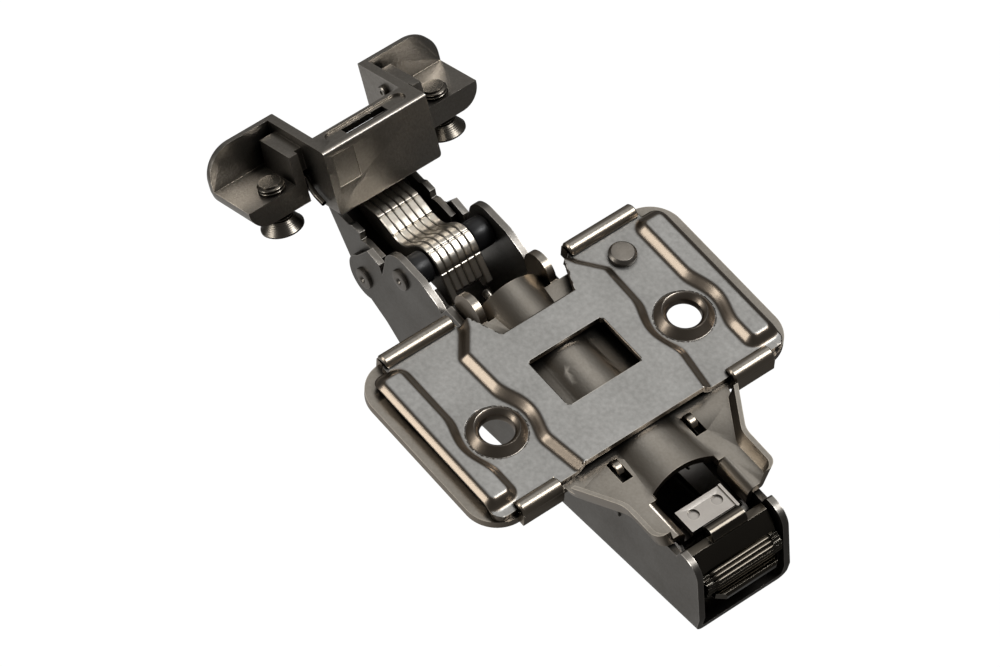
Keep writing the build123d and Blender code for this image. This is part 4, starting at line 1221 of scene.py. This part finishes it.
@dataclass
class SheetParts:
    """Folded and stamped pieces that keep their CAD shape with rolled edges.

    pieces gives name, edge width, look and slot for each node; guides gives outer x, lip x and both y ends.
    """

    pieces: dict = field(default_factory=lambda: {
        "carrier_plate": ("sliding_sheet", 0.14, "slide_grey", "plate_grey"),
        "arm": ("arm_channel", 0.12, "dark_steel", "dark_steel"),
        "outer_link": ("front_link_channel", 0.12, "dark_steel", "dark_steel"),
        "inner_frame": ("clip_frame", 0.1, "leaf_nickel", "bright_steel"),
        "release_lever": ("release_tab", 0.18, "black_nickel", "black_nickel"),
        "height_cam": ("height_stud", 0.12, "pin_steel", "bright_steel"),
        "depth_cam": ("depth_screw", 0.12, "hidden_zinc", "bright_steel"),
        "side_screw": ("side_adjuster_screw", 0.12, "hidden_zinc", "bright_steel"),
    })
    access_y: float = 16.0
    access_radius: float = 4.6
    access_travel: float = 1.4
    access_z: Span = (-4.0, 1.0)
    guides: dict = field(default_factory=lambda: {"front": (-19.1, -16.6, 10.0, 21.5),
                                                  "rear": (12.75, 10.2, 14.6, 21.4)})
    lip_z: Span = (-1.05, -0.1)
    wall: float = 1.2
    guide_chamfer: float = 0.22
    plain: dict = field(default_factory=lambda: {
        "hook_pin": "pin_steel", "lever_pin": "pin_steel", "spring_pin": "pin_steel", "link_end_pin": "pin_steel",
        "cup_pin": "pin_steel"})

    def screw_access(self) -> tuple[bpy.types.Object, ...]:
        """Two slots across the sliding sheet that keep the plate screws within reach at any height setting.

        Each outline is a circle whose two halves are moved apart along y by the sheet's travel.

        Returns:
            One cutting shape for each slot.
        """
        turn = np.linspace(0, 2 * np.pi, 56, endpoint=False) + np.pi / 56
        ring = self.access_radius * np.stack([np.cos(turn), np.sin(turn)], 1)
        ring[:, 1] += self.access_travel * np.sign(ring[:, 1])
        return tuple(prism(f"slot_{side}", ring + [0, side * self.access_y], *self.access_z) for side in (-1, 1))

    def guide_roll(self, name: str, side: int, finish: Look) -> bpy.types.Object:
        """Lip folded over as a half-round bar: arc of half the guide's width, flat underneath, chamfered ends.

        The arc is (mid + r cos t, top - r + r sin t) for t from 180 to 12 degrees, r half the width.

        Args:
            name: front or rear.
            side: -1 or 1 along y.
            finish: the roll's look.

        Returns:
            The roll.
        """
        outer, lip, y0, y1 = self.guides[name]
        low, top = self.lip_z
        r, toward = abs(lip - outer) / 2, np.sign(lip - outer)
        t = np.radians(np.linspace(180, 12, 25))
        arc = np.stack([(outer + lip) / 2 + toward * r * np.cos(t), top - r + r * np.sin(t)], 1)
        inner, spring = outer + toward * self.wall, top - r - 0.1
        under = [(lip - toward * 0.12, low), (inner, low), (inner, spring), (outer, spring)]
        start, end = sorted((side * y0, side * y1))
        roll = blank(f"{name}_guide_{'left' if side < 0 else 'right'}", np.concatenate([arc, under]), start, end,
                     self.guide_chamfer)
        roll.data.materials.append(finish)
        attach(roll, "slide_plate")
        return roll

    def guide_cuts(self) -> tuple[bpy.types.Object, ...]:
        """Boxes that clear the copied sheet's own lips, which the rolls stand in for.

        Returns:
            One box for each guide.
        """
        low, top = self.lip_z[0] - 0.4, 1.0
        boxes = []
        for side in (-1, 1):
            for name, (outer, lip, y0, y1) in self.guides.items():
                x0, x1 = sorted((outer - 0.3 * np.sign(lip - outer), lip + 0.3 * np.sign(lip - outer)))
                outline = np.array([(x0, side * (y0 - 0.2)), (x1, side * (y0 - 0.2)), (x1, side * (y1 + 0.2)),
                                    (x0, side * (y1 + 0.2))])
                boxes.append(prism(f"clear_{name}_{side}", outline, low, top))
        return tuple(boxes)

    def build(self, looks: dict[str, Look]) -> None:
        """Softens each sheet piece, adds the guide rolls and gives the plain pins their finish.

        Args:
            looks: every material by its name.
        """
        for node, (name, width, look, slot) in self.pieces.items():
            sliding = node == "carrier_plate"
            piece = softened(name, node, width, tools=self.screw_access() + self.guide_cuts() if sliding else ())
            piece.data.materials.append(looks[look])
        for side in (-1, 1):
            for name in self.guides:
                self.guide_roll(name, side, looks["slide_grey"])
        for node, look in self.plain.items():
            paint(frame["nodes"][node], looks[look])


def paint(obj: bpy.types.Object, mat: Look) -> None:
    """Gives every material slot of an object one finish.

    Args:
        obj: the object to dress.
        mat: its finish.
    """
    if not obj.material_slots:
        obj.data.materials.append(mat)
    for slot in obj.material_slots:
        slot.material = mat


@dataclass
class PressedDetails:
    """Small pressed forms: the lever's gripping ridges, the sliding sheet's two tongues, the arm's side barb."""

    ridges: tuple = ((31.9, -6.6), (32.5, -6.8), (33.0, -7.25), (33.15, -7.95), (33.15, -8.65))
    ridge_radius: float = 0.42
    ridge_half_y: float = 5.6
    tongue: tuple = ((11.95, -2.6), (12.3, -1.95), (12.9, -1.55), (13.6, -1.5), (14.2, -1.8), (14.5, -2.3))
    tongue_y: Span = (5.75, 6.85)
    tongue_wall: float = 0.55
    barb: tuple = ((14.5, -8.3), (16.3, -7.2), (16.6, -8.6))
    barb_y: Span = (-8.1, -7.7)
    barb_chamfer: float = 0.14
    tongue_chamfer: float = 0.12

    def build(self, lever: Look, sheet: Look, channel: Look) -> None:
        """Ridges as round bars with drawn-in ends, tongues as bent strips, barb as a chamfered triangle.

        A ridge's radius is r * (1 - y^16) with y from -1 to 1 along it. A tongue's underside is its upper line moved
        by the wall along the line's normal.

        Args:
            lever: look of the ridges.
            sheet: look of the tongues.
            channel: look of the barb.
        """
        barb = blank("side_barb", np.array(self.barb), *self.barb_y, self.barb_chamfer)
        barb.data.materials.append(channel)
        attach(barb, "arm_body")
        y = np.linspace(-1, 1, 25)
        radius = self.ridge_radius * np.clip(1 - y ** 16, 0.02, 1)
        for i, (x, z) in enumerate(self.ridges):
            path = np.stack([np.full_like(y, x), y * self.ridge_half_y, np.full_like(y, z)], 1)
            bar = tube(f"grip_ridge_{i + 1}", path, radius, np.array([0.8, 0, 0.6]), 12)
            bar.data.materials.append(lever)
            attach(bar, "lever")
        upper = np.array(self.tongue)
        run = np.gradient(upper, axis=0)
        under = upper - self.tongue_wall * np.stack([-run[:, 1], run[:, 0]], 1) / np.linalg.norm(run, axis=1)[:, None]
        strip = np.concatenate([upper, under[::-1]])
        for side, name in ((-1, "left"), (1, "right")):
            low, high = sorted(side * v for v in self.tongue_y)
            tongue = blank(f"tongue_{name}", strip, low, high, self.tongue_chamfer)
            tongue.data.materials.append(sheet)
            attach(tongue, "slide_plate")


# ------------------------------------------------------------------ studio
@dataclass
class Studio:
    """Camera, pale floor, soft lamps and sky.

    Each lamp is name, place, size, watts and tint. Each sky lobe is direction, sharpness and amount.
    """

    eye: Point = (0.333753, -0.308309, 0.638228)
    right: Point = (0.61545, 0.78720, 0.03926)
    up: Point = (-0.65424, 0.48246, 0.58241)
    back: Point = (0.43953, -0.38413, 0.81194)
    lens_mm: float = 211.55
    floor_z: float = -0.14
    floor_glow: Span = (0.34, 0.05)
    glow_at: Span = (-0.08, -0.08)
    glow_reach: Span = (0.07, 0.2)
    dome: float = 0.07
    lamps: tuple = (("near_strip", (-0.5, -0.98, 0.33), (0.25, 0.8), 2.0, (1.0, 0.97, 0.92)),
                    ("top_box", (0.25, 0.5, 1.0), (0.5, 0.4), 5.0, (1.0, 1.0, 1.0)))
    lobes: tuple = (((-0.44, 0.38, 0.81), 20.0, 1.05), ((-0.44, -0.86, 0.25), 14.0, 0.8),
                    ((-0.9, 0.38, 0.21), 8.0, 0.13))

    def camera(self) -> None:
        """Camera at the given place, its axes set as the columns of its matrix."""
        data = bpy.data.cameras.new("studio_camera")
        data.sensor_width, data.lens = 36.0, self.lens_mm
        data.clip_start, data.clip_end = 0.01, 20.0
        cam = bpy.data.objects.new("studio_camera", data)
        bpy.context.scene.collection.objects.link(cam)
        turn = Matrix((self.right, self.up, self.back)).transposed().to_4x4()
        cam.matrix_world = Matrix.Translation(self.eye) @ turn
        bpy.context.scene.camera = cam

    def lamp(self, name: str, at: Point, size: Span, power: float, tint: Colour) -> None:
        """Soft rectangular lamp aimed at the hinge.

        Args:
            name: the lamp's name.
            at: place in metres.
            size: width and height in metres.
            power: watts.
            tint: light colour.
        """
        data = bpy.data.lights.new(name, "AREA")
        data.shape, data.size, data.size_y = "RECTANGLE", *size
        data.energy, data.color = power, tint
        obj = bpy.data.objects.new(name, data)
        bpy.context.scene.collection.objects.link(obj)
        back = Matrix.Translation(at)
        aim = (-back.translation).normalized().to_track_quat("-Z", "Y")
        obj.matrix_world = back @ aim.to_matrix().to_4x4()

    def floor(self) -> None:
        """Large pale floor well below the hinge, paler to the camera than in reflections."""
        s = 6.0
        obj = new_object("studio_floor", np.array([(-s, -s, 0), (s, -s, 0), (s, s, 0), (-s, s, 0)])
                         + [0, 0, self.floor_z], [(0, 1, 2, 3)])
        mat, tree, shader = start_material("pale_floor")
        seen = tree.nodes.new("ShaderNodeLightPath").outputs["Is Camera Ray"]
        where = tree.nodes.new("ShaderNodeTexCoord").outputs["Object"]
        away = tree.nodes.new("ShaderNodeVectorMath")
        away.operation = "DISTANCE"
        tree.links.new(where, away.inputs[0])
        away.inputs[1].default_value = (*self.glow_at, self.floor_z)
        glow = span_node(tree, away.outputs["Value"], *self.glow_reach, *self.floor_glow)
        tree.links.new(mix_value(tree, seen, glow, 1.0), shader.inputs["Emission Color"])
        shader.inputs["Emission Strength"].default_value = 1.0
        shader.inputs["Base Color"].default_value = (0.05, 0.048, 0.045, 1)
        shader.inputs["Roughness"].default_value = 0.9
        shader.inputs["Specular IOR Level"].default_value = 0.1
        obj.data.materials.append(mat)

    def sky(self) -> None:
        """Soft sky: strength = dome + sum of amount * max(direction . view, 0) ^ sharpness."""
        world = bpy.data.worlds.new("studio_sky")
        world.use_nodes = True
        tree = world.node_tree
        where = tree.nodes.new("ShaderNodeTexCoord").outputs["Object"]
        level = self.dome
        for direction, sharpness, amount in self.lobes:
            dot = tree.nodes.new("ShaderNodeVectorMath")
            dot.operation = "DOT_PRODUCT"
            tree.links.new(where, dot.inputs[0])
            dot.inputs[1].default_value = np.array(direction) / np.linalg.norm(direction)
            lobe = math_node(tree, "POWER", math_node(tree, "MAXIMUM", dot.outputs["Value"], 0.0), sharpness)
            level = math_node(tree, "ADD", level, math_node(tree, "MULTIPLY", lobe, amount))
        shade = tree.nodes["Background"]
        shade.inputs["Color"].default_value = (1.0, 0.985, 0.96, 1)
        tree.links.new(math_node(tree, "MAXIMUM", level, 0.0), shade.inputs["Strength"])
        bpy.context.scene.world = world

    def build(self) -> None:
        """Everything round the hinge."""
        bpy.context.scene.view_settings.view_transform = "Standard"
        self.camera()
        self.floor()
        self.sky()
        for lamp in self.lamps:
            self.lamp(*lamp)


def main() -> None:
    """Builds the effects, finishes, pieces and studio in order."""
    for effect in (build_rubbed_edge_and_highlight, build_mottle, build_painted_shade):
        effect()
    finishes = (PLATE_GREY, SLIDE_GREY, DARK_STEEL, PIN_STEEL, DIE_CAST, BRIGHT_NICKEL, LEAF_NICKEL, BLACK_NICKEL,
                SCREW_STEEL, HIDDEN_ZINC, BLACK_ACETAL)
    looks = {finish.name: finish.build() for finish in finishes}
    LOG.info("finishes: %d", len(looks))
    sheet = StampedPlate().build(looks["plate_grey"])
    LOG.info("fixed sheet: %d faces", len(sheet.data.polygons))
    SheetParts().build(looks)
    LOG.info("link: %d laminations", len(LaminatedLink().build(looks["bright_nickel"])))
    ClosingSpring().build(looks["bright_nickel"])
    ArmPins().build(looks["pin_steel"])
    Bushes().build(looks["black_acetal"])
    DoorBlock().build(looks["die_cast"], looks["screw_steel"], looks["black_nickel"])
    PressedDetails().build(looks["black_nickel"], looks["slide_grey"], looks["dark_steel"])
    LOG.info("pins, bushes and door block done")
    Studio().build()


if __name__ == "__main__":
    main()
